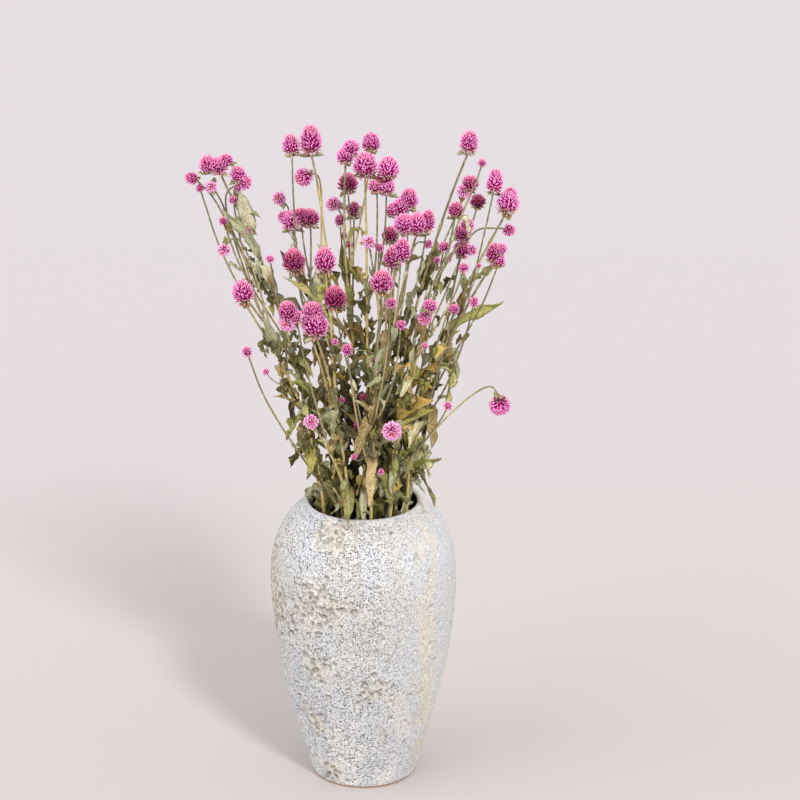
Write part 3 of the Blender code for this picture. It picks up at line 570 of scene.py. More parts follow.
STEMS = (
    Stem("left_top", (-41, 2), -8, (
        (Head(219, 166, 19, 18), Head(206, 165, 16, 20), Head(226, 160, 13, 13)),
        (Head(238, 175, 15, 17), Head(247, 186, 15, 16, (0.8, -0.4, 0.3))),
        (Head(192, 178, 12, 14, (-0.7, -0.5, 0.5)),),
        (Head(211, 187, 13, 12, (-0.3, -0.9, 0.3)),),
    ), (
        Head(200, 188, 9, 10), Head(233, 200, 10, 9), Head(223, 221, 9, 9),
    ), (
        Seen(240, 240, 192, 16), Seen(262, 222, 208, 11), Seen(300, 256, 262, 13),
    )),
    Stem("left_low", (-37, -24), -48, (
        (Head(243, 293, 20, 26),),
        (Head(224, 250, 14, 14, (-0.3, -0.8, -0.5)),),
    ), (
        Head(270, 259, 9, 9), Head(247, 352, 10, 14),
    ), (
        Seen(420, 272, 396, 7), Seen(352, 262, 318, 12),
    )),
    Stem("tall", (-20, 8), 22, (
        (Head(311, 141, 20, 34),),
        (Head(291, 146, 16, 24),),
        (Head(304, 177, 18, 17, (-0.8, -0.5, -0.3)),),
    )),
    Stem("centre_left", (-26, 30), 62, (
        (Head(291, 221, 20, 22), Head(302, 215, 15, 16), Head(310, 219, 17, 20)),
        (Head(279, 198, 15, 14, (-0.35, -0.8, 0.45)),),
    ), (), (
        Seen(296, 280, 250, 9), Seen(300, 316, 268, 12),
    )),
    Stem("mid_left", (-20, -12), -42, (
        (Head(325, 261, 20, 27),),
        (Head(294, 262, 21, 27),),
    ), (), (
        Seen(288, 327, 250, 9), Seen(330, 282, 276, 9),
    )),
    Stem("low_left", (-14, -36), -88, (
        (Head(315, 325, 24, 30), Head(311, 304, 20, 20)),
        (Head(288, 312, 18, 22), Head(287, 331, 18, 19, (-0.3, -0.8, 0.1)),
         Head(298, 318, 13, 14)),
        (Head(311, 422, 17, 15, (0.1, -0.9, 0.3)),),
    )),
    Stem("back", (-6, 39), 92, (
        (Head(351, 148, 17, 18), Head(343, 160, 17, 18)),
        (Head(348, 184, 18, 22),),
        (Head(333, 204, 16, 15, (-0.4, -0.6, 0.5)),),
        (Head(354, 211, 13, 18),),
        (Head(371, 143, 17, 21),),
    ), (
        Head(340, 221, 11, 16), Head(349, 245, 9, 9),
    )),
    Stem("centre_top", (4, 16), 38, (
        (Head(365, 166, 22, 26),),
        (Head(388, 169, 20, 25), Head(380, 186, 14, 18), Head(390, 196, 17, 18),
         Head(366, 185, 20, 14)),
    )),
    Stem("centre_right", (17, 35), 84, (
        (Head(409, 200, 17, 23), Head(399, 209, 18, 20), Head(385, 214, 12, 15)),
        (Head(390, 236, 15, 18),),
    )),
    Stem("centre_front", (12, -6), -14, (
        (Head(417, 225, 20, 24), Head(400, 224, 20, 22), Head(428, 222, 14, 28)),
    ), (
        Head(428, 244, 10, 9, (0.5, 0.1, -0.4)),
    )),
    Stem("centre_mid", (1, -22), -56, (
        (Head(393, 258, 18, 24), Head(406, 248, 17, 28)),
        (Head(369, 242, 14, 14, (0.0, -0.8, 0.5)),),
    ), (
        Head(379, 248, 9, 11),
    )),
    Stem("front", (8, -42), -98, (
        (Head(382, 283, 21, 25),),
        (Head(335, 299, 20, 27),),
        (Head(392, 431, 20, 20, (0.1, -0.95, -0.1)),),
    ), (
        Head(347, 350, 11, 16), Head(391, 303, 12, 11), Head(401, 325, 10, 10),
    ), (
        Seen(478, 368, 508, 12),
    )),
    Stem("right_tall", (24, 16), 30, (
        (Head(469, 143, 17, 26),),
        (Head(464, 191, 15, 17, (0.0, -0.7, 0.6)), Head(473, 181, 16, 17)),
        (Head(478, 202, 15, 16),),
    )),
    Stem("right_outer", (42, 4), 8, (
        (Head(508, 203, 21, 26), Head(512, 189, 12, 13)),
        (Head(495, 183, 16, 26), Head(496, 171, 11, 12)),
    ), (
        Head(509, 230, 12, 16, (0.8, -0.2, -0.2)),
    ), (
        Seen(330, 504, 301, 14), Seen(285, 500, 262, 9),
    )),
    Stem("right_mid", (31, -14), -34, (
        (Head(463, 234, 17, 16), Head(469, 223, 14, 14)),
        (Head(456, 211, 15, 18),),
        (Head(462, 250, 17, 17), Head(475, 250, 13, 13, (0.5, -0.8, 0.1))),
    ), (
        Head(444, 247, 12, 12), Head(464, 268, 12, 10), Head(482, 163, 9, 9),
    ), (
        Seen(395, 458, 352, 8),
    )),
    Stem("right_edge", (40, -25), -58, (
        (Head(494, 254, 15, 24), Head(504, 247, 13, 12), Head(500, 262, 12, 16)),
    ), (
        Head(474, 302, 9, 15), Head(454, 309, 11, 11),
    ), (
        Seen(480, 442, 458, 9),
    )),
    Stem("right_low", (26, -37), -80, (
        (Head(430, 306, 15, 13),),
        (Head(500, 405, 21, 20, (0.15, -0.15, -1.0)),),
    ), (
        Head(448, 406, 9, 9), Head(425, 318, 14, 14, (-0.1, -0.9, -0.3)),
    ), (
        Seen(440, 434, 400, 20),
    )),
)

# One head or bud in its place, one stalk as points with radii, one leaf as its rib
# with the blade's half widths, sideways vectors and face vectors, and a whole stem.
Bloom = namedtuple("Bloom", "middle axis width tall")
Stalk = namedtuple("Stalk", "points radii")
Leaf = namedtuple("Leaf", "rib side face half phase")
Grown = namedtuple("Grown", "name stalk sides leaves bunches buds")


def unit(vector):
    return vector / np.linalg.norm(vector)


def mouth_place(stem):
    """Where a stem passes the vase's mouth."""
    return np.array((stem.mouth[0] * MM, stem.mouth[1] * MM, VASE_HEIGHT))


def turned(vector, axis, angle):
    """`vector` turned by `angle` about the unit vector `axis`."""
    along = axis * (axis @ vector) * (1.0 - math.cos(angle))
    return vector * math.cos(angle) + np.cross(axis, vector) * math.sin(angle) + along


def seen_place(across, down, depth):
    """The point `depth` behind the middle plane that the front view shows there, and
    the metres that one view unit is worth at that point."""
    forward = np.array((0.0, math.cos(EYE_DIP), -math.sin(EYE_DIP)))
    upward = np.array((0.0, math.sin(EYE_DIP), math.cos(EYE_DIP)))
    ray = forward + upward * ((VIEW_MIDDLE - down) / VIEW_FOCUS)
    ray[0] = (across - VIEW_MIDDLE) / VIEW_FOCUS
    reach = (depth - EYE[1]) / ray[1]
    return EYE + ray * reach, reach / VIEW_FOCUS


class Room:
    """The space that is taken, as balls along each piece, with the piece's body."""

    def __init__(self):
        self.balls = np.zeros((0, 5))

    def take(self, middles, radii, body):
        radii = np.broadcast_to(radii, len(middles))
        rows = np.column_stack([middles, radii, np.full(len(middles), body)])
        self.balls = np.vstack([self.balls, rows])

    def clear(self, middles, radii, body, breath=BREATH):
        """Whether balls here would keep clear of every other body."""
        others = self.balls[self.balls[:, 4] != body]
        radii = np.broadcast_to(radii, len(middles))
        reach = radii.max() + breath + others[:, 3:4]
        above = others[:, :3] > middles.min(axis=0) - reach
        below = others[:, :3] < middles.max(axis=0) + reach
        near = others[(above & below).all(axis=1)]
        apart = np.linalg.norm(middles[:, None] - near[None, :, :3], axis=2)
        return bool((apart > radii[:, None] + near[None, :, 3] + breath).all())


def bloom_balls(bloom):
    """Middles and radii of the balls that fill a head."""
    radius = min(bloom.width, bloom.tall) / 2.0
    spare = abs(bloom.tall - bloom.width) / 2.0
    if bloom.tall >= bloom.width:
        shifts = [bloom.axis * spare * s for s in (-1.0, 0.0, 1.0)]
    else:
        side = unit(np.cross(bloom.axis, (0.3, 0.9, 0.1)))
        shifts = [turned(side, bloom.axis, k * math.pi / 3.0) * spare for k in range(6)]
    return np.array([bloom.middle + shift for shift in shifts]), radius * BRACT_TIP


def place_blooms(heads, mouth, depth):
    """Heads at one depth, each pulled to an earlier one until they press together."""
    blooms = []
    for head in heads:
        middle, unit_size = seen_place(head.across, head.down, depth)
        width, tall = head.width * unit_size, head.tall * unit_size
        lean = unit(middle - mouth)
        axis = unit(lean + 0.5 * UP) if head.face is None else unit(np.array(head.face))
        if blooms:
            near = min(blooms, key=lambda b: np.linalg.norm(b.middle - middle) - b.width)
            offset = middle - near.middle
            most = PRESSED * (min(width, tall) + min(near.width, near.tall)) / 2.0
            middle = near.middle + offset * min(1.0, most / np.linalg.norm(offset))
        blooms.append(Bloom(middle, axis, width, tall))
    return blooms


def fit_blooms(room, heads, mouth, depth, body):
    """The heads at the nearest depth where they are clear of what is there."""
    for step in range(HEAD_TRIES):
        shift = (step + 1) // 2 * HEAD_SHIFT * (-1.0) ** step
        blooms = place_blooms(heads, mouth, depth + shift)
        if all(room.clear(*bloom_balls(bloom), body) for bloom in blooms):
            break
    for bloom in blooms:
        room.take(*bloom_balls(bloom), body)
    return blooms


def take_vase(room, body):
    """The lip and the shoulder, which stalks and leaves keep off."""
    shoulder = vase_profile(SHOULDER_STEPS, FLANK_STEPS)[:SHOULDER_STEPS]
    profile, _ = spaced(shoulder, np.zeros(SHOULDER_STEPS), 4.0 * MM)
    rings = [(MOUTH_RADIUS - WALL / 2.0, VASE_HEIGHT - WALL / 2.0)]
    rings += [(radius - WALL / 2.0, height - WALL / 4.0) for radius, height in profile]
    for radius, height in rings:
        count = int(math.tau * radius / TEST_STEP)
        turn = np.linspace(0.0, math.tau, count, endpoint=False)
        heights = np.full(count, height)
        ring = np.column_stack([radius * np.cos(turn), radius * np.sin(turn), heights])
        room.take(ring, WALL / 2.0, body)


def stalk_path(mouth, top, slope, bulge, late, heights):
    """Where a main stalk passes each height: straight up to the vase's mouth, and from
    there in one even bend to its top, with `bulge` added on the way, later for a
    larger `late`."""
    share = (heights - mouth[2]) / (top[2] - mouth[2])
    above = np.clip(share, 0.0, 1.0)[:, None]
    rise = (heights - mouth[2])[:, None]
    bend = top - mouth - slope * (top[2] - mouth[2])
    swell = np.sin(math.pi * above ** late)
    path = mouth + slope * rise + bend * above ** 2 + bulge * swell
    path[:, 2] = heights
    return path


def stalk_settles(room, path, radii, body):
    """Whether a stalk is clear of other stems, but for its tip, which is under its own
    head. If it is, it takes its room."""
    places, thick = spaced(path, radii, TEST_STEP)
    keep = np.linalg.norm(places - path[-1], axis=1) > TIP_FREE
    free = room.clear(places[keep], thick[keep], body)
    if free:
        room.take(places, thick, body)
    return free


def grow_stalk(rng, room, stem, leaders, body):
    """The main stalk up to one of its leading heads, its joints' numbers and the head."""
    mouth = mouth_place(stem)
    foot_height = FLOOR + GAP
    slope = mouth * (1.0 - CUT_END_SHARE) / (VASE_HEIGHT - foot_height)
    slope[2] = 1.0
    tops = [b.middle - b.axis * (b.tall * BASE_SHARE + TIP_GAP) for b in leaders]
    top = tops[0]
    inside = [foot_height, 0.4 * VASE_HEIGHT, 0.75 * VASE_HEIGHT]
    first = LOWEST_JOINT + rng.uniform(0.0, 0.5) * JOINT_SPACING
    count = int((top[2] - JOINT_CLEAR - first) / JOINT_SPACING) + 1
    joints = [first + JOINT_SPACING * k for k in range(count)]
    outside = [joint + half for joint in joints for half in (0.0, JOINT_SPACING / 2.0)]
    if top[2] - outside[-1] < TIP_CLEAR:
        outside.pop()
    numbers = [len(inside) + 2 * k for k in range(count)]
    for attempt in range(STALK_TRIES):
        top = tops[attempt % len(tops)]
        heights = np.array(inside + outside + [top[2]])
        radii = np.interp(heights, [0.0, top[2]], [STALK_RADIUS, STALK_TIP_RADIUS])
        radii[numbers] *= JOINT_SWELL
        reach = STALK_SHIFT * attempt
        angle = rng.uniform(0.0, math.tau)
        bulge = np.array((math.cos(angle), math.sin(angle), 0.0)) * reach
        path = stalk_path(mouth, top, slope, bulge, rng.uniform(1.0, 3.5), heights)
        if stalk_settles(room, path, radii, body):
            break
    return Stalk(path, radii), numbers, leaders[attempt % len(tops)]


def grow_side(rng, room, stalk, numbers, bloom, sunk, body):
    """A side stalk from one of the main stalk's joints to a head or bud, or None."""
    end = bloom.middle - bloom.axis * (bloom.tall * BASE_SHARE + TIP_GAP - sunk)
    for attempt in range(SIDE_TRIES):
        late = attempt / SIDE_TRIES
        drop = rng.uniform(SIDE_DROP[0], SIDE_DROP[1] + LOWER_DROP * late)
        ways = end - stalk.points[numbers]
        misses = np.abs(ways[:, 2] - drop - np.linalg.norm(ways[:, :2], axis=1))
        number = numbers[int(misses.argmin())]
        root = stalk.points[number]
        along = unit(root - stalk.points[number - 1])
        away = end - root
        length = np.linalg.norm(away)
        outward = away - along * (away @ along)
        outward = turned(unit(outward), along, rng.uniform(-1.0, 1.0) * (0.3 + late))
        leave = unit(along + outward * rng.uniform(0.1, 0.6 + late))
        leave = leave * length * rng.uniform(0.28, 0.45)
        arrive = bloom.axis * length * rng.uniform(0.15, 0.4)
        steps = SIDE_STEPS if unit(leave) @ bloom.axis > 0.5 else ARCHED_STEPS
        path = bow(root, leave, end, arrive, steps + 1)
        radii = np.linspace(SIDE_RADIUS, SIDE_TIP_RADIUS, steps + 1)
        if stalk_settles(room, path, radii, body):
            return Stalk(path, radii)
    return None


def leaf_lift(leaf, half, along, across):
    """How far the blade stands off its rib's face: it is folded up along its rib, and
    its edges wave."""
    wave = np.sin(leaf.phase + along * LEAF_WAVES * math.tau + across) * LEAF_WAVE
    return half * np.abs(across) * (LEAF_FOLD + wave * np.abs(across))


def leaf_row(leaf, across):
    """The blade's places beside its rib's points, at a share of its half width from -1
    to 1."""
    lift = leaf_lift(leaf, leaf.half, np.linspace(0.0, 1.0, len(leaf.rib)), across)
    beside = leaf.side * (leaf.half * across)[:, None]
    return leaf.rib + beside + leaf.face * lift[:, None]


def leaf_corners(leaf):
    """How far along the blade its cross sections stand, and the corners of its facets:
    those of one edge, of the rib and of the other edge."""
    marks = np.linspace(0.0, 1.0, len(leaf.rib))
    length = np.linalg.norm(np.diff(leaf.rib, axis=0), axis=1).sum()
    stations = SMALL_LEAF_STATIONS if length < SMALL_LEAF else LEAF_STATIONS
    rows = [read(leaf_row(leaf, across), marks, stations) for across in (-1.0, 0.0, 1.0)]
    return stations, rows


def leaf_balls(leaf, start=0.0):
    """Middles of the balls that cover a leaf's facets from a share of its length on."""
    stations, rows = leaf_corners(leaf)
    wanted = np.linspace(start, 1.0, RIB_POINTS)
    left, rib, right = [read(row, stations, wanted) for row in rows]
    beside = [rib + (edge - rib) * share for edge in (left, right) for share in LEAF_TESTS]
    return np.vstack([rib] + beside)


def leaf_settles(room, leaf, body):
    """Whether a leaf is clear of other stems, and past its foot of its own stem too.
    If it is, it takes its room."""
    balls = leaf_balls(leaf)
    free = room.clear(balls, LEAF_BALL, body, 0.0)
    free = free and room.clear(leaf_balls(leaf, LEAF_FOOT), BLADE, NO_BODY, 0.0)
    if free:
        room.take(balls, LEAF_BALL, body)
    return free


def shaped_leaf(rng, rib, side, width):
    """A leaf on a rib: slim at both ends, widest before its middle."""
    share = np.linspace(0.0, 1.0, len(rib))
    half = width / 2.0 * np.sin(math.pi * share ** 0.72) ** 0.65
    half = np.maximum(half, 0.7 * MM * (1.0 - share))
    ways = np.gradient(rib, axis=0)
    twist = rng.uniform(-LEAF_TWIST, LEAF_TWIST)
    sides, faces = [], []
    for way, part in zip(ways, share):
        across = side - unit(way) * (side @ unit(way))
        across = turned(unit(across), unit(way), twist * part)
        sides.append(across)
        faces.append(np.cross(unit(way), across))
    phase = rng.uniform(0.0, math.tau)
    return Leaf(rib, np.array(sides), np.array(faces), half, phase)


def leaf_rib(rng, root, along, outward, length):
    """The middle line of a leaf that has wilted over and hangs, or is still held up."""
    held = rng.random() < HELD_SHARE
    tilt = math.radians(rng.uniform(*(HELD_TILT if held else WILTED_TILT)))
    fall = math.radians(rng.uniform(*(HELD_FALL if held else WILTED_FALL)))
    sway = rng.uniform(-LEAF_SWAY, LEAF_SWAY)
    rib = [root]
    for k in range(RIB_POINTS - 1):
        share = k / (RIB_POINTS - 2)
        angle = tilt + fall * min(1.0, share / LEAF_BEND)
        way = along * math.cos(angle) + outward * math.sin(angle)
        way = turned(way, along, sway * share)
        rib.append(rib[-1] + way * length / (RIB_POINTS - 1))
    return np.array(rib)


def drawn_leaf(rng, root, along, outward, sizes, slimness):
    """A leaf of a drawn size and shape, from a root on the stalk's outward side."""
    length = rng.uniform(*sizes)
    width = length * rng.uniform(*slimness)
    rib = leaf_rib(rng, root, along, outward, length)
    return shaped_leaf(rng, rib, unit(np.cross(along, outward)), width)


def grow_leaf(rng, room, root, along, outward, sizes, body):
    """A leaf from one of the stalk's joints, clear of everything else, or None."""
    for _ in range(LEAF_TRIES):
        leaf = drawn_leaf(rng, root, along, outward, sizes, LEAF_SLIMNESS)
        if leaf_settles(room, leaf, body):
            return leaf
    return None


def grow_seen_leaf(rng, room, stalk, seen, depth, body):
    """A leaf from the stalk to its own place in the front view, or None."""
    heights = stalk.points[:, 2]
    for attempt in range(SEEN_LEAF_TRIES):
        nearer = attempt * SEEN_LEAF_SHIFT
        tip, unit_size = seen_place(seen.across, seen.down, depth + nearer)
        root_height = seen_place(seen.across, seen.root_down, depth)[0][2]
        root_height = max(root_height, LOWEST_JOINT)
        root = read(stalk.points, heights, [root_height])[0]
        reach = np.linalg.norm(tip - root)
        rise = (UP + unit(tip - root)) * reach * 0.25
        tilt = unit(tip - root + rng.uniform(-0.4, 0.4) * reach * UP) * reach * 0.25
        rib = bow(root, rise, tip, tilt, RIB_POINTS)
        side = np.array((rng.uniform(-0.4, 0.4), 0.0, 0.0)) + np.cross(tip - root, (0, 1, 0))
        leaf = shaped_leaf(rng, rib, unit(side), seen.width * unit_size)
        if leaf_settles(room, leaf, body):
            return leaf
    return None


def grow_leaves(rng, room, stem, stalk, numbers, body):
    """Placed leaves, then those at the joints, each pair across the one below."""
    leaves = []
    depth = stem.depth * MM
    for seen in stem.leaves:
        leaves.append(grow_seen_leaf(rng, room, stalk, seen, depth, body))
    turn = rng.uniform(0.0, math.pi)
    for number in numbers:
        root = stalk.points[number]
        share = number / len(stalk.points)
        if share > LEAFY_SHARE:
            break
        along = unit(stalk.points[number + 1] - stalk.points[number - 1])
        first = unit(np.cross(along, (math.cos(turn), math.sin(turn), 0.0)))
        sizes = LOW_LEAF if share < LOW_SHARE else HIGH_LEAF
        for way in (first, -first)[:2 if share < PAIRED_SHARE else 1]:
            leaves.append(grow_leaf(rng, room, root, along, way, sizes, body))
        turn += math.pi / 2.0
    return [leaf for leaf in leaves if leaf is not None]


def grow_bunch():
    """Every stem of the bunch, placed so that no two touch, and the room it takes."""
    room = Room()
    take_vase(room, VASE_BODY)
    bodies = itertools.count(len(STEMS))
    placed, buds, stalks, sides, grown = [], [], [], [], []
    for stem in STEMS:
        stand = (mouth_place(stem), stem.depth * MM)
        placed.append([fit_blooms(room, heads, *stand, next(bodies)) for heads in stem.bunches])
    for number, stem in enumerate(STEMS):
        stand = (mouth_place(stem), stem.depth * MM)
        buds.append([fit_blooms(room, (head,), *stand, number)[0] for head in stem.buds])
    rngs = [random.Random(SEED + number) for number in range(len(STEMS))]
    for number, stem in enumerate(STEMS):
        leaders = [bloom for bloom in placed[number][0] if bloom.axis[2] > UPRIGHT]
        stalks.append(grow_stalk(rngs[number], room, stem, leaders, number))
    for number, (stalk, joints, leader) in enumerate(stalks):
        wanted = [(bloom, 0.0) for bunch in placed[number] for bloom in bunch]
        wanted += [(bud, SUNK) for bud in buds[number]]
        own = [
            grow_side(rngs[number], room, stalk, joints, bloom, sunk, number)
            for bloom, sunk in wanted if bloom is not leader
        ]
        sides.append([side for side in own if side is not None])
    for number, stem in enumerate(STEMS):
        stalk, joints, _ = stalks[number]
        leaves = grow_leaves(rngs[number], room, stem, stalk, joints, number)
        whole = (stalk, sides[number], leaves, placed[number], buds[number])
        grown.append(Grown(stem.name, *whole))
    return grown, room


# The stalks: dried, ridged stalks of straw yellow and dull green, thick and golden at
# their joints. The side stalks that carry the heads are thinner and darker. Each stem's
# stalks are one piece, grown together.
LINE_STEPS = 12
RING_STEP = 3.2 * MM
STALK_SIDES = 12
STALK_RIDGES = 4
SIDE_SIDES = 8
SIDE_RIDGES = 3
RIDGE_HEIGHT = 0.12
# A joint's swelling here, beside the solids', and how far along the stalk it reaches.
JOINT_FULLER = 1.15
JOINT_LENGTH = 4.2 * MM
# Each stalk sways by this much over such a length, but for its ends.
SWAY = np.array((0.35, 0.3, 0.0)) * MM
SWAY_LENGTH = 23.0 * MM
SWAY_FREE = 20.0 * MM
# How far main stalks and side stalks have gone to straw.
MAIN_STRAW = (0.6, 1.15)
SIDE_STRAW = (0.0, 0.7)
STALK_SEED = 300


def rounded(points):
    """A smooth line through the points, LINE_STEPS places to each stretch."""
    padded = np.vstack([2.0 * points[0] - points[1], points, 2.0 * points[-1] - points[-2]])
    t = np.linspace(0.0, 1.0, LINE_STEPS, endpoint=False)[:, None]
    runs = []
    for a, b, c, d in zip(padded, padded[1:], padded[2:], padded[3:]):
        square = (2.0 * a - 5.0 * b + 4.0 * c - d) * t ** 2
        cube = (3.0 * (b - c) + d - a) * t ** 3
        runs.append(0.5 * (2.0 * b + (c - a) * t + square + cube))
    return np.vstack(runs + [points[-1:]])


def tube(path, radii, sides, ridges, turn):
    """Points round a path and the triangles between them, with both ends closed."""
    ways = units(np.gradient(path, axis=0))
    across = unit(np.cross(ways[0], (0.31, 0.85, 0.2)))
    angles = np.linspace(0.0, math.tau, sides, endpoint=False) + turn
    swell = 1.0 + RIDGE_HEIGHT * np.cos(angles * ridges)
    rings = []
    for place, way, radius in zip(path, ways, radii):
        across = unit(across - way * (across @ way))
        other = np.cross(way, across)
        ring = np.cos(angles)[:, None] * across + np.sin(angles)[:, None] * other
        rings.append(place + ring * (swell * radius)[:, None])
    return np.vstack(rings + [path[:1], path[-1:]]), closed_faces(len(path), sides)


def gathered(parts):
    """Several parts as one: their points, faces and what their points carry."""
    starts = np.cumsum([0] + [len(points) for points, _, _ in parts])
    points = np.vstack([points for points, _, _ in parts])
    faces = np.vstack([faces + start for (_, faces, _), start in zip(parts, starts)])
    keys = parts[0][2]
    return points, faces, {key: np.concatenate([p[2][key] for p in parts]) for key in keys}


def stalk_part(rng, stalk, sides, ridges, joints, straw):
    """One stalk: smooth, a little crooked, and swollen at its joints."""
    path = rounded(stalk.points)
    marks = marks_along(path)
    at_joints = marks[[LINE_STEPS * number for number in joints]]
    line, _ = spaced(path, marks, RING_STEP)
    marks = np.linspace(0.0, marks[-1], len(line))
    radii = np.interp(marks, (0.0, marks[-1]), (stalk.radii[0], stalk.radii[-1]))
    swell = np.zeros(len(line))
    for mark in at_joints:
        swell = np.maximum(swell, np.exp(-(((marks - mark) / JOINT_LENGTH) ** 2)))
    radii = radii * (1.0 + (JOINT_SWELL - 1.0) * JOINT_FULLER * swell)
    sway = np.sin(marks / SWAY_LENGTH + rng.uniform(0.0, math.tau))
    sway *= np.minimum(1.0, np.minimum(marks, marks[-1] - marks) / SWAY_FREE)
    line = line + sway[:, None] * SWAY
    points, faces = tube(line, radii, sides, ridges, rng.uniform(0.0, math.tau))
    return points, faces, {
        "along": np.append(np.repeat(marks / marks[-1], sides), (0.0, 1.0)),
        "joint": np.append(np.repeat(swell, sides), (0.0, 0.0)),
        "straw": np.full(len(points), rng.uniform(*straw)),
    }


def stalk_finish():
    """Straw to dull green, streaked along the grain, golden at the joints."""
    material, shader, tone = new_finish("dried_stalk", 0.62)
    sockets = {"Vector": tone.place(), "Scale": (1.0, 1.0, 0.12)}
    long_way = tone.node("Mapping", sockets=sockets)
    streak = tone.cloud(900.0, 3.0, long_way)
    blotch = tone.cloud(60.0, 3.0, long_way)
    aged = tone.carried("straw") - tone.carried("along").between(0.6, 1.0) * 0.5
    straw = (aged + (blotch - 0.5) * 0.7).between(0.0, 1.0)
    feed(shader, "Base Color", tone.plain(0.16, 0.145, 0.07).tinted(
        ((0.68, 0.53, 0.21), straw),
        ((0.62, 0.36, 0.08), tone.carried("joint") * 0.8 * straw),
        ((0.82, 0.72, 0.44), streak.between(0.54, 0.74) * 0.75),
        ((0.055, 0.042, 0.018), streak.between(0.47, 0.27) * 0.75),
    ))
    feed(shader, "Normal", tone.bump(streak, 0.4 * MM, 0.5))
    return material


bunch, room = grow_bunch()
stalk_look = stalk_finish()
for number, grown in enumerate(bunch):
    rng = random.Random(STALK_SEED + number)
    joints = range(3, len(grown.stalk.points) - 1, 2)
    parts = [stalk_part(rng, grown.stalk, STALK_SIDES, STALK_RIDGES, joints, MAIN_STRAW)]
    for side in grown.sides:
        parts.append(stalk_part(rng, side, SIDE_SIDES, SIDE_RIDGES, (), SIDE_STRAW))
    name = grown.name
    make_piece("stalks_" + name, gathered(parts), stalk_look, "dried_greenery", "stem_" + name)


# The leaves: thin blades that dried crumpled, folded up along their ribs, with rolled
# and ruffled edges. They went sage, olive, ochre or brown, each to its own shade, and
# hang from the stalks' joints, thickest just above the vase's mouth.
LEAF_ROWS = 15
LEAF_COLUMNS = 7
LEAF_THICK = 0.16 * MM
# How deeply the edges are torn, and how often along the blade.
TORN = ((0.07, 1.0, 11.0), (0.03, 2.0, 23.0))
# How much the edges ruffle and how far the blade rolls up, in radians: the solids'
# leaves, those along the main stalks, those on the side stalks and those under heads.
PLACED_CRUMPLE = ((0.15, 0.45), (0.3, 1.2))
EXTRA_CRUMPLE = ((0.3, 0.8), (0.4, 2.0))
TWIG_CRUMPLE = ((0.2, 0.5), (0.4, 1.6))
COLLAR_CRUMPLE = (0.2, 0.6)
# More leaves grow along the main stalks, and a few on the side stalks: their lengths,
# how wide they are for that, and how far apart they grow.
EXTRA_LEAF = np.array((14.0, 38.0)) * MM
TWIG_LEAF = (8.0 * MM, 20.0 * MM)
EXTRA_SLIMNESS = (0.28, 0.46)
EXTRA_SPACING = 6.8 * MM
LEAF_PLACES = 6
# They start up to this far below the mouth and reach up to a share of the stem above
# it, which is higher on some stems. They also grow closer together on some.
EXTRA_BELOW = 12.0 * MM
EXTRA_SHARE = {"left_top": 0.92, "left_low": 0.85, "right_outer": 0.80}
CLOSER = {"left_top": 0.62, "left_low": 0.68, "low_left": 0.75}
# The two small leaves under a head of the usual width, and their shades.
COLLAR_LEAF = (9.0 * MM, 14.5 * MM)
COLLAR_HEAD = 18.0 * MM
COLLAR_SHADES = (0.32, 0.42, 0.54, 0.74, 0.88, 0.92)
# Leaves near to the bunch's middle are painted darker, as painted shade that stands in for the
# shade inside the bunch: how near that is at the mouth, how much it widens with height, and how
# high it reaches.
PAINTED_SHADE_WIDTH = 31.0 * MM
PAINTED_SHADE_FLARE = 0.22
PAINTED_SHADE_RISE = 240.0 * MM
# Leaves close to the mouth keep nearer to sage than those above, up to this height, partly
# their own colour and partly painted light that lifts them out of the shade at the mouth.
SAGE = 0.48
SAGE_RISE = 90.0 * MM
LEAF_SEED = 700
# The shades, from 0 to 1, of the leaves that have a place of their own, by stem.
SHADES = {
    "left_top": (0.55, 0.43, 0.58), "left_low": (0.93, 0.44), "centre_left": (0.02, 0.50),
    "mid_left": (0.67, 0.12), "front": (0.88,), "right_outer": (0.71, 0.31),
    "right_mid": (0.82,), "right_edge": (0.75,), "right_low": (0.82,),
}


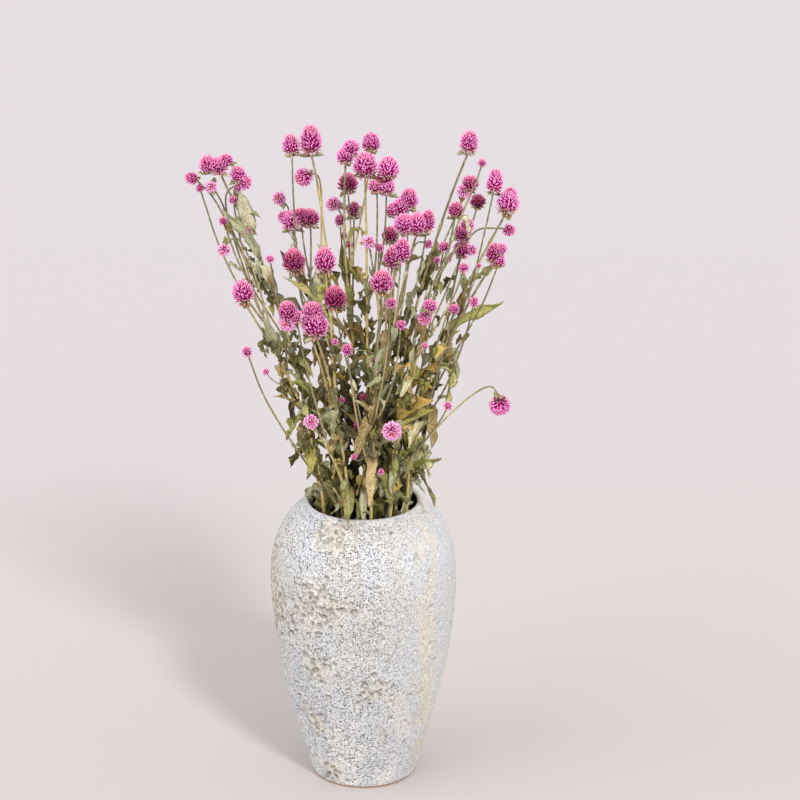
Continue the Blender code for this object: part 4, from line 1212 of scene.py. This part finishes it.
def leaf_part(rng, leaf, ruffle, roll):
    """One blade, thickest along its rib, with both faces meeting at its edges."""
    marks = np.linspace(0.0, 1.0, len(leaf.rib))
    along = np.linspace(0.0, 1.0, LEAF_ROWS)
    rows = (leaf.rib, leaf.side, leaf.face)
    rib, side, face = (read(row, marks, along)[:, None] for row in rows)
    half = np.interp(along, marks, leaf.half)[:, None]
    across = np.linspace(-1.0, 1.0, LEAF_COLUMNS)[None, :]
    along = along[:, None]
    torn = rng.uniform(0.0, math.tau) + np.sign(across) * 1.3
    ragged = sum(deep * np.sin(torn * k + along * often) for deep, k, often in TORN)
    half = half * (1.0 + ragged)
    lift = leaf_lift(leaf, half, along, across)
    phase = rng.uniform(0.0, math.tau)
    ruffles = np.sin(phase + along * rng.uniform(1.4, 3.2) * math.tau + across * 2.2)
    ripples = np.cos(phase + along * 4.4 * math.tau + across * 4.0)
    lift += half * np.abs(across) ** 1.5 * ruffle * ruffles
    lift += half * 0.2 * ruffle * ripples
    turn = roll * across
    lift += half * (1.0 - np.cos(turn)) / roll
    middle = rib + side * (half * np.sin(turn) / roll)[:, :, None] + face * lift[:, :, None]
    ends = np.minimum(1.0, np.minimum(along, 1.0 - along) * 12.0)
    body = face * (LEAF_THICK * (1.0 - across ** 2) * ends)[:, :, None]
    count = LEAF_ROWS * LEAF_COLUMNS
    inner = np.zeros((LEAF_ROWS, LEAF_COLUMNS), bool)
    inner[1:-1, 1:-1] = True
    under = np.arange(count) + np.where(inner.ravel(), count, 0)
    points = np.vstack([(middle + body).reshape(-1, 3), (middle - body).reshape(-1, 3)])
    faces = grid_faces(LEAF_ROWS, LEAF_COLUMNS, False)
    faces = np.vstack([faces, under[faces][:, ::-1]])
    used, faces = np.unique(faces, return_inverse=True)
    place = leaf.rib.mean(axis=0)
    up = max(0.0, place[2] - VASE_HEIGHT)
    out = np.hypot(place[0], place[1]) / (PAINTED_SHADE_WIDTH + up * PAINTED_SHADE_FLARE)
    # deep: how much painted shade the leaf gets, more near the bunch's middle and low down
    deep = rng.random() ** 0.55 * math.exp(-(out ** 4) - (up / PAINTED_SHADE_RISE) ** 4)
    # nearer to sage low down, partly as painted light against the shade at the mouth
    shade = SAGE + (rng.random() - SAGE) * (0.65 + 0.35 * min(1.0, up / SAGE_RISE))
    ones = np.ones(len(used))
    return points[used], faces.reshape(-1, 3), {
        "across": np.tile((across + along * 0.0).ravel(), 2)[used],
        "along": np.tile((along + across * 0.0).ravel(), 2)[used],
        "shade": shade * ones, "age": rng.random() * ones, "deep": deep * ones,
    }


def free_leaf(rng, room, root, way, sizes, body):
    """A leaf in any direction from a place on a stalk, clear of the heads."""
    for _ in range(LEAF_PLACES):
        angle = rng.uniform(0.0, math.tau)
        outward = unit(np.cross(way, (math.cos(angle), math.sin(angle), 0.1)))
        leaf = drawn_leaf(rng, root, way, outward, sizes, EXTRA_SLIMNESS)
        if room.clear(leaf_balls(leaf), LEAF_THICK, body, 0.0):
            break
    return leaf


def collar_leaf(rng, bloom, angle):
    """A small leaf that stands out from under a head."""
    base = bloom.middle - bloom.axis * bloom.tall * BASE_SHARE
    outward = turned(unit(np.cross(bloom.axis, (0.3, 0.5, 0.8))), bloom.axis, angle)
    size = rng.uniform(*COLLAR_LEAF) * bloom.width / COLLAR_HEAD
    steps = np.linspace(0.0, 1.0, RIB_POINTS)[:, None]
    bend = (rng.uniform(-0.15, 0.75) * steps - 0.25) * steps
    rib = base + outward * size * steps + bloom.axis * size * bend
    return shaped_leaf(rng, rib, unit(np.cross(bloom.axis, outward)), size * 0.7)


def crumpled(rng, leaf, ruffle, roll):
    """A leaf's blade, ruffled and rolled up by amounts within these."""
    return leaf_part(rng, leaf, rng.uniform(*ruffle), rng.uniform(*roll))


def leaf_finish():
    """Sage, olive, ochre or brown by the leaf, paler along the veins and blotched, and darkened
    with painted shade deep in the bunch.
    """
    material, shader, tone = new_finish("dried_leaf", 0.78, 0.25)
    across, along = tone.carried("across"), tone.carried("along")
    blotch = tone.cloud(130.0, 4.0)
    grain = tone.cloud(700.0, 3.0)
    ramp = tone.node("ValToRGB", {"stops": (
        (0.0, (0.03, 0.024, 0.005)), (0.12, (0.08, 0.065, 0.013)), (0.22, (0.18, 0.155, 0.035)),
        (0.31, (0.29, 0.29, 0.085)), (0.41, (0.41, 0.44, 0.25)), (0.52, (0.60, 0.60, 0.40)),
        (0.60, (0.70, 0.66, 0.44)), (0.67, (0.48, 0.45, 0.12)), (0.75, (0.31, 0.34, 0.07)),
        (0.82, (0.68, 0.44, 0.10)), (0.88, (0.57, 0.43, 0.21)), (0.94, (0.27, 0.185, 0.055)),
        (1.0, (0.07, 0.045, 0.014)),
    )}, {0: tone.carried("shade") + (blotch - 0.5) * 0.14})
    side = tone.maths("ABSOLUTE", across)
    rib = side.between(0.16, 0.02)
    veins = tone.maths("SINE", (along * 7.0 + side * -1.6) * math.tau).between(0.55, 1.0)
    burnt = side.between(0.62, 1.0) * tone.carried("age") * blotch.between(0.4, 0.62)
    feed(shader, "Base Color", ramp.tinted(
        ((0.64, 0.58, 0.38), tone.maths("MAXIMUM", rib * 0.55, veins * 0.25)),
        ((0.22, 0.12, 0.04), burnt * 0.9),
        ((0.03, 0.024, 0.008), grain.between(0.48, 0.28) * 0.8),
        ((0.70, 0.64, 0.46), grain.between(0.56, 0.76) * 0.5),
        # painted shade on leaves deep inside the bunch
        ((0.032, 0.025, 0.008), tone.carried("deep") * 0.93),
    ))
    height = grain * 0.5 + veins * 0.35 + rib + blotch * 0.8
    feed(shader, "Normal", tone.bump(height, 0.7 * MM, 0.7))
    return material


head_room = Room()
head_room.balls = room.balls[(room.balls[:, 4] >= len(STEMS)) | (room.balls[:, 4] == VASE_BODY)]
leaf_look = leaf_finish()
for number, grown in enumerate(bunch):
    rng = random.Random(LEAF_SEED + number)
    name = grown.name
    parts = [crumpled(rng, leaf, *PLACED_CRUMPLE) for leaf in grown.leaves]
    for (_, _, values), shade in zip(parts, SHADES.get(name, ())):
        values["shade"][:] = shade
        # leaves with a place of their own get no painted shade
        values["deep"][:] = 0.0
    path = rounded(grown.stalk.points)
    above = path[-1, 2] - VASE_HEIGHT
    height = VASE_HEIGHT - EXTRA_BELOW * rng.random()
    while height < VASE_HEIGHT + above * EXTRA_SHARE.get(name, 0.70):
        at = int(np.searchsorted(path[:, 2], height))
        sizes = EXTRA_LEAF * (1.0 - 0.45 * max(0.0, height - VASE_HEIGHT) / above)
        leaf = free_leaf(rng, head_room, path[at], unit(path[at] - path[at - 4]), sizes, number)
        parts.append(crumpled(rng, leaf, *EXTRA_CRUMPLE))
        height += rng.uniform(0.4, 1.5) * EXTRA_SPACING * CLOSER.get(name, 1.0)
    for side in grown.sides:
        twig = rounded(side.points)
        for _ in range(rng.choice((1, 2, 2, 3))):
            at = int(len(twig) * rng.uniform(0.1, 0.62))
            way = unit(twig[at + 2] - twig[at])
            leaf = free_leaf(rng, head_room, twig[at], way, TWIG_LEAF, number)
            parts.append(crumpled(rng, leaf, *TWIG_CRUMPLE))
    for bloom in itertools.chain(*grown.bunches):
        first = rng.uniform(0.0, math.tau)
        for angle in (first, first + math.pi):
            parts.append(leaf_part(rng, collar_leaf(rng, bloom, angle), *COLLAR_CRUMPLE))
            parts[-1][2]["shade"][:] = rng.choice(COLLAR_SHADES)
    make_piece("leaves_" + name, gathered(parts), leaf_look, "dried_greenery", "stem_" + name)


# The flower heads: each is a tight egg of papery, pointed bracts in spirals round a woody core,
# dark magenta at their feet, partly their own colour and partly painted shade in the gaps
# between them, and pale at their tips. Heads that grew against each other stay pressed
# together. The buds are small open stars of a few bracts.

# How a head grows: how far its bracts lean up it, how long they are as a share of it,
# the surface that each one covers, and how much it narrows towards its crown.
Habit = namedtuple("Habit", "lean reach area taper")
TALL_HEAD = Habit(math.radians(54.0), 0.31, 5.6 * MM ** 2, 0.32)
ROUND_HEAD = Habit(math.radians(44.0), 0.30, 5.6 * MM ** 2, 0.12)
OPEN_HEAD = Habit(math.radians(14.0), 0.36, 6.2 * MM ** 2, 0.0)
BUD = Habit(math.radians(34.0), 0.30, 4.8 * MM ** 2, 0.1)
# A head this much taller than wide is a tall one.
TALL_SHARE = 1.12
# Bract tips stand this share of a head's width from its axis, and a tall head's core
# rises above its middle by more than that by this share.
TIP_STAND = 0.53
TALL_RISE = 1.12
# A bract's width as a share of its part of the surface, and its thickness of that.
BRACT_WIDTH = 0.60
BRACT_THICK = 0.8
# How unevenly the bracts stand, and how much they differ in length.
BRACT_JITTER = 0.15
BRACT_LENGTHS = (0.82, 1.12)
GOLDEN_TURN = math.pi * (3.0 - math.sqrt(5.0))
CORE_SIDES = 16
CORE_ROWS = 11
CORE_SHARE = 1.02
HEAD_SEED = 900
# Heads and buds that dried dusky, by their place in the front view, and how dusky.
DUSKY = {
    (294, 262): 0.85, (335, 299): 0.95, (310, 219): 0.75, (302, 215): 0.7, (348, 184): 0.85,
    (380, 186): 0.95, (390, 236): 0.9, (393, 258): 0.5, (456, 211): 0.6, (478, 202): 0.95,
    (473, 181): 0.6, (462, 250): 0.7, (463, 234): 0.7, (494, 254): 0.65, (288, 312): 0.45,
    (354, 211): 0.6, (304, 177): 0.3, (382, 283): 0.35, (331, 397): 0.95, (363, 397): 0.95,
    (357, 425): 0.9, (343, 431): 0.9, (342, 400): 0.45, (400, 405): 0.6, (374, 360): 0.5,
}
# How dusky the others may be, and how worn at the foot tall heads and others are.
HEAD_DUSK = (0.0, 0.28)
BUD_DUSK = (0.0, 0.4)
TALL_WORN = (0.3, 1.0)
WORN = (0.0, 0.5)
# Buds too small for the solids, by the stem that they grow on, each on a thread of a
# stalk that leaves the main one so far below.
TINY_BUDS = {
    "left_top": (Head(238, 188, 9, 9), Head(248, 231, 8, 8)),
    "left_low": (Head(266, 372, 8, 7),),
    "centre_left": (Head(283, 217, 11, 14),),
    "mid_left": (Head(331, 397, 7, 8), Head(342, 400, 6, 9), Head(343, 431, 6, 8)),
    "back": (Head(344, 236, 8, 9),),
    "centre_mid": (Head(363, 397, 7, 8), Head(374, 360, 6, 10), Head(357, 425, 7, 9)),
    "front": (Head(335, 342, 7, 9), Head(354, 457, 6, 6), Head(381, 472, 6, 9)),
    "right_mid": (Head(437, 260, 7, 8), Head(448, 259, 8, 8), Head(400, 405, 7, 9)),
    "right_edge": (Head(479, 266, 6, 6),),
    "right_low": (Head(425, 346, 8, 6),),
}
THREAD_RADIUS = 0.45 * MM
THREAD_DROP = (26.0 * MM, 46.0 * MM)


def bract_shape():
    """A keeled, pointed bract of unit length and width, closed all round: its points
    across, out and along, its triangles, how far each is from its foot, and its keel."""
    corners = ((-0.5, 0.0), (0.0, -0.3), (0.5, 0.0), (0.0, 0.6))
    points = [
        (across * wide, out * thick, along)
        for along, wide, thick in ((0.0, 0.6, 0.5), (0.5, 0.9, 0.9), (0.8, 1.0, 0.9))
        for across, out in corners
    ]
    points = np.array(points + [(0.0, 0.2, 1.0)])
    faces = [(0, 3, 2), (0, 2, 1)]
    for k in range(4):
        beside = (k + 1) % 4
        for ring in (0, 4):
            low, next_low = ring + k, ring + beside
            faces += [(low, next_low, next_low + 4), (low, next_low + 4, low + 4)]
        faces.append((k + 8, beside + 8, 12))
    keels = np.array((0.0, 0.0, 0.0, 1.0) * 3 + (1.0,))
    return points, np.array(faces), points[:, 2], keels


BRACT_POINTS, BRACT_FACES, BRACT_SHARES, BRACT_KEELS = bract_shape()


def placed_at(bloom, places):
    """Places of a head's own, turned to its axis and moved to its middle."""
    level = unit(np.cross(bloom.axis, (0.2, 0.9, 0.4)))
    return bloom.middle + places @ np.array((level, np.cross(bloom.axis, level), bloom.axis))


def stretched(rise, habit):
    """How much higher than an egg a head stands, by its rise from -1 to 1."""
    return np.where((rise > 0.0) & (habit is TALL_HEAD), TALL_RISE, 1.0)


def bracts(rng, bloom, habit, core_share):
    """Pointed bracts in spirals over an egg, leaning up it, all at once."""
    surface = math.pi * (bloom.width * bloom.tall + bloom.width ** 2) / 2.0
    count = int(surface / habit.area)
    reach = min(bloom.width, bloom.tall) * habit.reach
    width = math.sqrt(habit.area) * BRACT_WIDTH
    number = np.arange(count) + 0.5
    rise = 1.0 - 1.96 * number / count
    level = np.sqrt(1.0 - rise ** 2)
    turn = number * GOLDEN_TURN + rng.uniform(0.0, math.tau)
    ring = np.column_stack([np.cos(turn), np.sin(turn)])
    wide, high = bloom.width / 2.0, bloom.tall / 2.0
    girth = wide * core_share * (1.0 - habit.taper * rise) * level
    up = rise * high * core_share * stretched(rise, habit)
    foot = np.column_stack([ring * girth[:, None], up])
    out = units(np.column_stack([ring * (level / wide)[:, None], rise / high]))
    jitter = [[rng.gauss(0.0, BRACT_JITTER) for _ in range(3)] for _ in range(count)]
    jitter = np.array(jitter)
    lean = habit.lean * (0.35 + 0.65 * level)[:, None]
    ways = units(out * np.cos(lean) + UP * np.sin(lean) + jitter)
    side = units(np.cross(ways, out + jitter[:, ::-1] * 0.5))
    length = reach * np.array([rng.uniform(*BRACT_LENGTHS) for _ in range(count)])
    length *= np.where(rise > 0.0, 0.68 + 0.32 * level, 1.0)
    sizes = (width, width * BRACT_THICK, length[:, None, None])
    places = foot[:, None, :]
    for axis, (way, size) in enumerate(zip((side, np.cross(side, ways), ways), sizes)):
        places = places + way[:, None, :] * BRACT_POINTS[None, :, axis:axis + 1] * size
    size = len(BRACT_POINTS)
    faces = BRACT_FACES[None] + np.arange(count)[:, None, None] * size
    return placed_at(bloom, places.reshape(-1, 3)), faces.reshape(-1, 3), {
        "tip": np.tile(BRACT_SHARES, count),
        "keel": np.tile(BRACT_KEELS, count),
        "crown": np.repeat((rise + 1.0) / 2.0, size),
        "fleck": np.repeat([rng.random() for _ in range(count)], size),
    }


def core(bloom, habit, core_share):
    """The closed egg that the bracts stand on."""
    rise = np.cos(np.linspace(0.04, math.pi - 0.04, CORE_ROWS))[::-1]
    turns = np.linspace(0.0, math.tau, CORE_SIDES, endpoint=False)
    share = core_share * CORE_SHARE
    girth = np.sqrt(1.0 - rise ** 2) * bloom.width / 2.0 * share * (1.0 - habit.taper * rise)
    up = rise * bloom.tall / 2.0 * share * stretched(rise, habit)
    ring = np.column_stack([np.cos(turns), np.sin(turns)])
    level = girth[:, None, None] * ring
    rows = np.dstack([level, np.repeat(up[:, None], CORE_SIDES, axis=1)])
    places = np.vstack([rows.reshape(-1, 3), [(0.0, 0.0, up[0]), (0.0, 0.0, up[-1])]])
    crown = np.append(np.repeat((rise + 1.0) / 2.0, CORE_SIDES), (0.0, 1.0))
    blank = np.zeros(len(places))
    values = {"tip": blank, "keel": blank, "crown": crown, "fleck": blank + 0.5}
    return placed_at(bloom, places), closed_faces(CORE_ROWS, CORE_SIDES), values


def head_part(rng, bloom, habit, dusk):
    """A whole head or bud, with how dusky and how worn at its foot it is."""
    core_share = 2.0 * (TIP_STAND - habit.reach * math.cos(habit.lean))
    made = gathered([core(bloom, habit, core_share), bracts(rng, bloom, habit, core_share)])
    worn = rng.uniform(*(TALL_WORN if habit is TALL_HEAD else WORN))
    for key, value in (("dusk", dusk), ("worn", worn), ("open", habit is OPEN_HEAD)):
        made[2][key] = np.full(len(made[0]), float(value))
    return made


def head_habit(head):
    """A head that faces the front has opened flat; the rest are tall or round."""
    if head.face and head.face[1] < -0.5:
        return OPEN_HEAD
    return TALL_HEAD if head.tall > TALL_SHARE * head.width else ROUND_HEAD


def tiny_bud(rng, grown, depth, head):
    """A bud in its place and the thread of a stalk that it grows on."""
    middle, unit_size = seen_place(head.across, head.down, depth)
    line = grown.stalk.points
    root = read(line, line[:, 2], [middle[2] - rng.uniform(*THREAD_DROP)])[0]
    axis = unit(unit(middle - root) + UP * 0.6)
    bloom = Bloom(middle, axis, head.width * unit_size, head.tall * unit_size)
    reach = np.linalg.norm(middle - root) * 0.35
    path = bow(root, UP * reach, middle - axis * bloom.tall * 0.3, axis * reach, 14)
    points, faces = tube(path, np.full(len(path), THREAD_RADIUS), 6, 3, 0.0)
    blank = np.zeros(len(points))
    return bloom, (points, faces, {"along": blank, "joint": blank, "straw": blank + 0.2})


def bract_finish():
    """Dark magenta at the foot of each bract and on the core, partly their own colour and
    partly painted shade in the gaps between the bracts, pale pink at its tip; salmon on the
    crown and straw at the foot of a head that is past its best."""
    material, shader, tone = new_finish("papery_bract", 0.6, 0.15)
    tip, keel, crown, fleck, dusk, worn, opened = (
        tone.carried(key) for key in ("tip", "keel", "crown", "fleck", "dusk", "worn", "open")
    )
    upper = crown.between(0.6, 1.0) * 0.6
    # deep: the bracts' own dark magenta at their feet and on the core, and painted shade in the
    # gaps between the bracts
    deep = tone.plain(0.30, 0.003, 0.11).tinted(
        ((0.07, 0.002, 0.025), dusk), ((0.62, 0.06, 0.17), upper))
    bright = tone.plain(0.96, 0.12, 0.56).tinted(
        ((0.38, 0.016, 0.12), dusk), ((0.92, 0.24, 0.40), crown.between(0.55, 1.0) * 0.75))
    pale = tone.plain(1.0, 0.57, 0.93).tinted(
        ((0.54, 0.085, 0.24), dusk), ((0.98, 0.42, 0.56), upper))
    flat = tone.plain(0.62, 0.07, 0.34).tinted(
        ((0.96, 0.56, 0.84), tip.between(0.25, 0.95)),
        ((0.93, 0.27, 0.16), crown.between(0.93, 0.99) * 0.8))
    feed(shader, "Base Color", deep.tinted(
        (bright, tip.between(0.2, 0.55)),
        (pale, tip.between(0.40, 0.92) * (0.45 + fleck * 0.35 + keel * 0.35)),
        (flat, opened * tip.between(0.1, 0.3) * 0.8),
        ((0.68, 0.55, 0.36), crown.between(0.30, 0.08) * worn * (0.5 + fleck * 0.5)),
    ))
    feed(shader, "Roughness", 0.55 + fleck * 0.2)
    return material


bract_look = bract_finish()
for number, (stem, grown) in enumerate(zip(STEMS, bunch)):
    rng = random.Random(HEAD_SEED + number)
    name = grown.name
    for order, (heads, blooms) in enumerate(zip(stem.bunches, grown.bunches), start=1):
        parts = []
        for head, bloom in zip(heads, blooms):
            dusk = DUSKY.get((head.across, head.down), rng.uniform(*HEAD_DUSK))
            parts.append(head_part(rng, bloom, head_habit(head), dusk))
        label = f"{name}_{order}"
        part = gathered(parts)
        make_piece("bracts_" + label, part, bract_look, "flower_heads", "heads_" + label)
    buds = [(bud, None) for bud in grown.buds]
    threads = []
    for head in TINY_BUDS.get(name, ()):
        bud, thread = tiny_bud(rng, grown, stem.depth * MM, head)
        buds.append((bud, (head.across, head.down)))
        threads.append(thread)
    if buds:
        parts = []
        for bud, place in buds:
            dusk = DUSKY.get(place, rng.uniform(*BUD_DUSK))
            parts.append(head_part(rng, bud, BUD, dusk))
        part = gathered(parts)
        make_piece("buds_" + name, part, bract_look, "flower_heads", "stem_" + name)
    if threads:
        part = gathered(threads)
        make_piece("threads_" + name, part, stalk_look, "dried_greenery", "stem_" + name)


# The floor under the vase, the light and the camera, at the photograph's angle: a plain
# pale floor, soft daylight from a window on the right and the room's own light.
FLOOR_REACH = 9.0
# Each lamp's turn to the right of the front and its rise in degrees, how strong it is,
# how many degrees across, and its colour.
LAMPS = {
    "window_light": (25.0, 40.0, 1.9, 9.0, (1.0, 0.98, 0.96)),
    "room_light": (-62.0, 30.0, 1.05, 60.0, (1.0, 0.99, 0.98)),
}
SKY = {"Color": (0.97, 0.955, 0.95, 1.0), "Strength": 1.06}
SENSOR_WIDTH = 36.0
SIGHT = 60.0


def floor_finish():
    """A pale grey with hardly any grain, warmer towards the front."""
    material, shader, tone = new_finish("pale_floor", 0.75, 0.15)
    away = tone.node("SeparateXYZ", sockets={0: tone.place()}, output=1)
    feed(shader, "Base Color", tone.plain(0.495, 0.455, 0.440).tinted(
        ((0.495, 0.468, 0.497), away.between(-0.6, 2.2)),
        ((0.49, 0.465, 0.465), tone.cloud(3.0) * 0.25),
    ))
    return material


floor_mesh = bpy.data.meshes.new("floor")
signs = ((-1, -1), (1, -1), (1, 1), (-1, 1))
corners = [(x * FLOOR_REACH, y * FLOOR_REACH, 0.0) for x, y in signs]
floor_mesh.from_pydata(corners, [], [(0, 1, 2, 3)])
floor_mesh.materials.append(floor_finish())
floor = stand("floor", floor_mesh)

for name, (turn, rise, strength, softness, colour) in LAMPS.items():
    lamp = bpy.data.lights.new(name, "SUN")
    lamp.energy = strength
    lamp.angle = math.radians(softness)
    lamp.color = colour
    turn, rise = math.radians(turn), math.radians(rise)
    level = math.cos(rise)
    spot = Vector((math.sin(turn) * level, -math.cos(turn) * level, math.sin(rise)))
    stand(name, lamp).rotation_euler = spot.to_track_quat("Z", "Y").to_euler()
sky = bpy.data.worlds.new("studio")
sky.use_nodes = True
for key, value in SKY.items():
    sky.node_tree.nodes["Background"].inputs[key].default_value = value
bpy.context.scene.world = sky

lens = bpy.data.cameras.new("camera")
lens.sensor_width = SENSOR_WIDTH
lens.lens = VIEW_FOCUS / (2.0 * VIEW_MIDDLE) * SENSOR_WIDTH
lens.clip_end = SIGHT
camera = stand("camera", lens)
camera.location = EYE
camera.rotation_euler = (math.pi / 2.0 - EYE_DIP, 0.0, 0.0)
bpy.context.scene.camera = camera
bpy.context.scene.view_settings.view_transform = "Standard"
